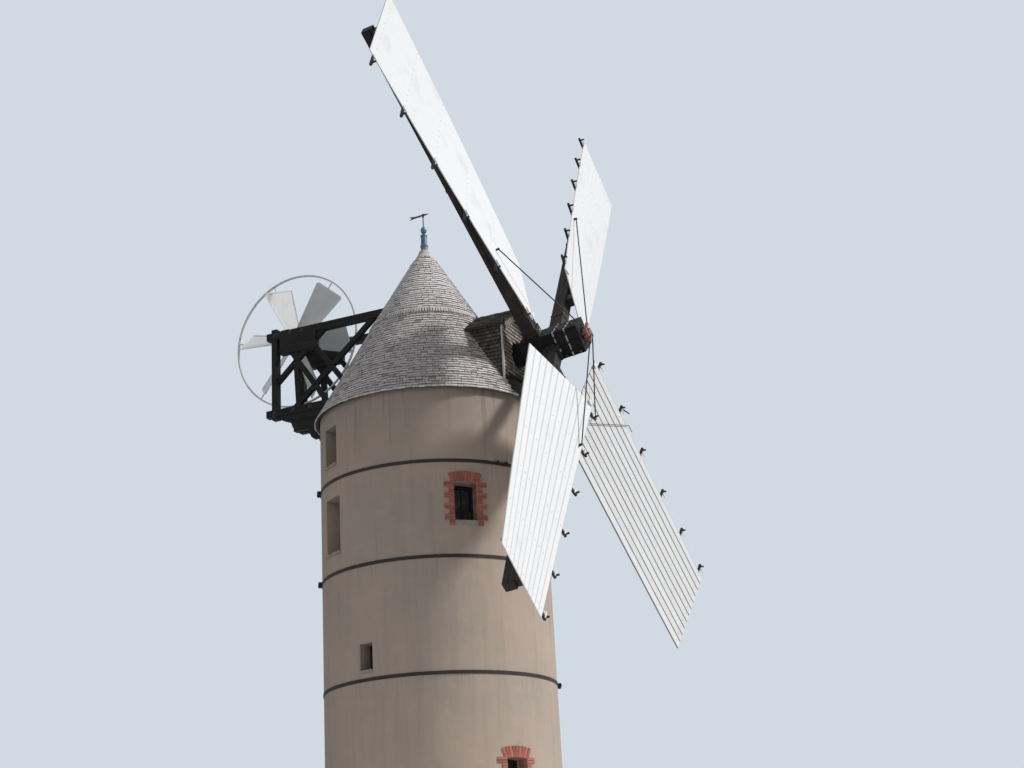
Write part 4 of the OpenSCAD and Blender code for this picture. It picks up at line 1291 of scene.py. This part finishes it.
def boltSails(c, sails):
    # a bolt through each board where an arm crosses behind it
    spots = []
    for k in range(4):
        for t in sails["armStations"]:
            m, a, b = sailEdges(sails, k, t)
            for j in range(sails["boards"]):
                spots.append((m @ a.lerp(b, (j + 0.5) / sails["boards"]), m.to_3x3() @ frontOf(a, b)))
    settle(boltsAt("boardBolts", spots, c["across"], c["height"], ringIron), "sails", "black_iron")


boltSails(boardBolts, sailShape)

# boxes from the arm's end: low corner, high corner, chamfer
hookFittings = {"beyondEdge": -0.045, "shoe": ((-0.03, -0.02, -0.018), (0.1, -0.004, 0.018), 0.004),
                "link": ((0.012, -0.044, -0.036), (0.044, -0.02, 0.1152), 0.005)}


def fitHooks(c, sails):
    # light shoe and spring link at each arm's end, in front of the pin
    bm = bmesh.new()
    for k in range(4):
        for t in sails["armStations"]:
            m, a, b = sailEdges(sails, k, t)
            along = math.atan2(b.y - a.y, b.x - a.x)
            local = m @ Matrix.Translation(a.lerp(b, c["beyondEdge"])) @ Matrix.Rotation(along, 4, "Z")
            for low, high, chamfer in (c["shoe"], c["link"]):
                boxInto(bm, low, high, local, chamfer)
    settle(meshPiece("hookShoes", bm, fanWhite), "sails", "sail_paint")


fitHooks(hookFittings, sailShape)

# wedges, pins and ties round the poll end

rootWedges = {"half": 0.15, "thick": 0.034, "from": 0.322, "to": 0.56, "sideHalf": 0.1, "sideShort": 0.08,
              "bolt": (0.03, 0.42), "boltAcross": 0.05, "boltHeight": 0.025, "pins": (-0.63, -0.96),
              "pinOffset": 0.27, "pinFrom": 0.32, "pinOut": 0.4, "pinRadius": 0.03}


def wedgeStocks(c):
    h, t, start, end = c["half"], c["thick"], c["from"], c["to"]
    side, sideEnd = c["sideHalf"], c["to"] - c["sideShort"]
    # the outer stock's upper root has light wedges, the others are tarred
    for name, quarters, finish in (("stockWedges", (0, 2, 3), stockTimberA), ("lightWedges", (1,), wedgeOak)):
        bm = bmesh.new()
        for m in (sailFrame(k) for k in quarters):
            for a, b in (((-h, -h - t, start), (h, -h, end)), ((-h, h, start), (h, h + t, end)),
                         ((-h - t, -side, start), (-h, side, sideEnd)),
                         ((h, -side, start), (h + t, side, sideEnd))):
                boxInto(bm, a, b, m, 0.008)
        settle(meshPiece(name, bm, finish), "sails", "frame_timber")
    spots = []
    for k in range(4):
        m = sailFrame(k)
        spots.append((m @ Vector((c["bolt"][0], -h - t, c["bolt"][1])), m.to_3x3() @ Vector((0, -1, 0))))
    settle(boltsAt("wedgeBolts", spots, c["boltAcross"], c["boltHeight"], ringIron), "sails", "black_iron")
    bm = bmesh.new()
    x, r = -c["pinOffset"], c["pinRadius"]
    for q in range(4):
        for y in c["pins"]:
            boxInto(bm, (x - r, y - r, c["pinFrom"]), (x + r, y + r, c["pinOut"]), headFace(q), 0.01)
    settle(meshPiece("pollPins", bm, blackIron), "sails", "black_iron")


wedgeStocks(rootWedges)

# places on a sail are shares of its width and of its length
sailTies = {"tiedSail": 2, "tie": ((0.59, 0.09), (-0.02, 0.29), (-0.02, 0.32)), "tieRadius": 0.008,
            "tieSteps": 10, "lever": ((-0.05, 0.229), (-0.12, 0.268)), "leverRadius": 0.016, "off": 0.03,
            "bracketAt": 0.05, "bracket": 0.14,
            "bracketY": (-0.045, -0.006), "bracketZ": (-0.02, 0.1)}


def tieSails(c, sails):
    # a rod across the heel of one sail's face, its lever at the second arm and white heel brackets
    def onFace(u, t):
        m, a, b = sailEdges(sails, c["tiedSail"], t)
        return m @ (a.lerp(b, u) + frontOf(a, b) * c["off"])

    bm = bmesh.new()
    steps = c["tieSteps"]
    for p, q in zip(c["tie"], c["tie"][1:]):
        for n in range(steps):
            a, b = ([p[i] + (q[i] - p[i]) * j / steps for i in (0, 1)] for j in (n, n + 1))
            rodInto(bm, onFace(*a), onFace(*b), c["tieRadius"], 6)
    rodInto(bm, onFace(*c["lever"][0]), onFace(*c["lever"][1]), c["leverRadius"])
    settle(meshPiece("sailTieRods", bm, blackIron), "sails", "black_iron")
    bm = bmesh.new()
    s, (nearY, farY), (low, high) = c["bracket"] / 2, c["bracketY"], c["bracketZ"]
    for k in range(4):
        m = sailFrame(k, sails["heelWedges"][k]) @ Matrix.Translation(sailPoint(sails, c["bracketAt"], 0.0))
        boxInto(bm, (-s, nearY, low), (s, farY, high), m, 0.008)
    settle(meshPiece("heelBrackets", bm, fanWhite), "sails", "sail_paint")


tieSails(sailTies, sailShape)

# fantail

fanShape = {
    "centreY": 3.512, "centreZ": 12.52, "blades": 6, "reach": 1.66, "pitch": 42, "start": 8,
    "outline": ((0.17, -0.08), (0.2, 0.11), (0.86, 0.22), (0.875, -0.17)), "spoke": 0.0145, "board": 0.01,
    "batten": 0.03, "battenThick": 0.012, "rimDepth": 0.036, "rimHalf": 0.0225, "rimSides": 96,
    "rimSunk": 0.001,
}


def boardFan(c):
    # pitched blades with battens along their edges, on the windward side of the spokes
    bm = bmesh.new()
    base = Matrix.Translation((0, c["centreY"], c["centreZ"]))
    front = -c["spoke"] - c["board"]
    outline = [(y * c["reach"], z * c["reach"]) for y, z in c["outline"]]
    for k in range(c["blades"]):
        m = base @ rotation(c["start"] + 360 / c["blades"] * k, "X") @ rotation(c["pitch"], "Y")
        near, far = ([bm.verts.new(m @ Vector((x, y, z))) for y, z in outline]
                     for x in (front, front + c["board"]))
        bm.faces.new(near)
        bm.faces.new(list(reversed(far)))
        for n in range(4):
            bm.faces.new((near[n], far[n], far[(n + 1) % 4], near[(n + 1) % 4]))
        # the edge nearest the hub has no batten
        for n in (1, 2, 3):
            a, b = Vector(outline[n]), Vector(outline[(n + 1) % 4])
            angle = math.atan2(b.y - a.y, b.x - a.x)
            local = m @ Matrix.Translation((front, a.x, a.y)) @ Matrix.Rotation(angle, 4, "X")
            boxInto(bm, (-c["battenThick"], 0.0, 0.002), (0.001, (b - a).length, c["batten"]), local, 0.003)
    settle(meshPiece("fanVanes", bm, fanWhite), "fantail", "fan_paint", "fan_blades")
    bm = bmesh.new()
    outer, inner, half = c["reach"] - c["rimSunk"], c["reach"] - c["rimDepth"], c["rimHalf"]
    rings = []
    for r, x in ((outer, -half), (outer, half), (inner, half), (inner, -half)):
        rings.append([bm.verts.new(base @ Vector((x, r * math.cos(a), r * math.sin(a))))
                      for a in circleOf(c["rimSides"])])
    for near, far in zip(rings, rings[1:] + rings[:1]):
        bridge(bm, near, far)
    settle(meshPiece("fanRimBand", bm, ringIron), "fantail", "fan_iron")


boardFan(fanShape)
print("mill: fantail boarded")

# bolt places are metres back from the tower's middle and up from the ground
galleryBolts = {
    "sideX": 0.6, "half": 0.08, "across": 0.06, "height": 0.022, "lower": 10.535, "upper": 12.4525,
    "places": ((3.71, "lower", 0), (3.71, "upper", 0), (3.71, "lower", -0.06), (2.75, "lower", 0),
               (3.2, "lower", 0), (2.95, "upper", 0), (2.3, "lower", 0),
               (fanShape["centreY"] - 0.24, "upper", 0.02), (fanShape["centreY"] + 0.12, "upper", 0.02)),
}


def boltGallery(c):
    spots = []
    for side in (-1, 1):
        for face in (-1, 1):
            x = side * c["sideX"] + face * c["half"]
            for y, level, lift in c["places"]:
                spots.append((Vector((x, y, c[level] + lift)), Vector((face, 0, 0))))
    settle(boltsAt("galleryBolts", spots, c["across"], c["height"], blackIron), "cap", "black_iron")


boltGallery(galleryBolts)

# each lug is a hoop and a direction in degrees round the tower
hoopTies = {"heights": (8.1755, 6.1356, 3.7499), "lugs": ((0, -118), (0, 122), (1, 122), (2, -64)),
            "wallRadius": 2.495, "lugOut": 0.055, "lugHalf": 0.112, "nutAcross": 0.045, "nutHeight": 0.03}


def tightenHoops(c):
    spots = []
    for hoop, azimuth in c["lugs"]:
        a = math.radians(azimuth)
        out, across = Vector((math.cos(a), math.sin(a), 0)), Vector((-math.sin(a), math.cos(a), 0))
        middle = out * (c["wallRadius"] + c["lugOut"]) + Vector((0, 0, c["heights"][hoop]))
        for s in (-1, 1):
            spots.append((middle + across * s * c["lugHalf"], across * s))
    settle(boltsAt("hoopNuts", spots, c["nutAcross"], c["nutHeight"], hoopIron), "tower", "hoop_iron")


tightenHoops(hoopTies)
print("mill: bolts and straps fixed")

# end

bpy.context.view_layer.update()
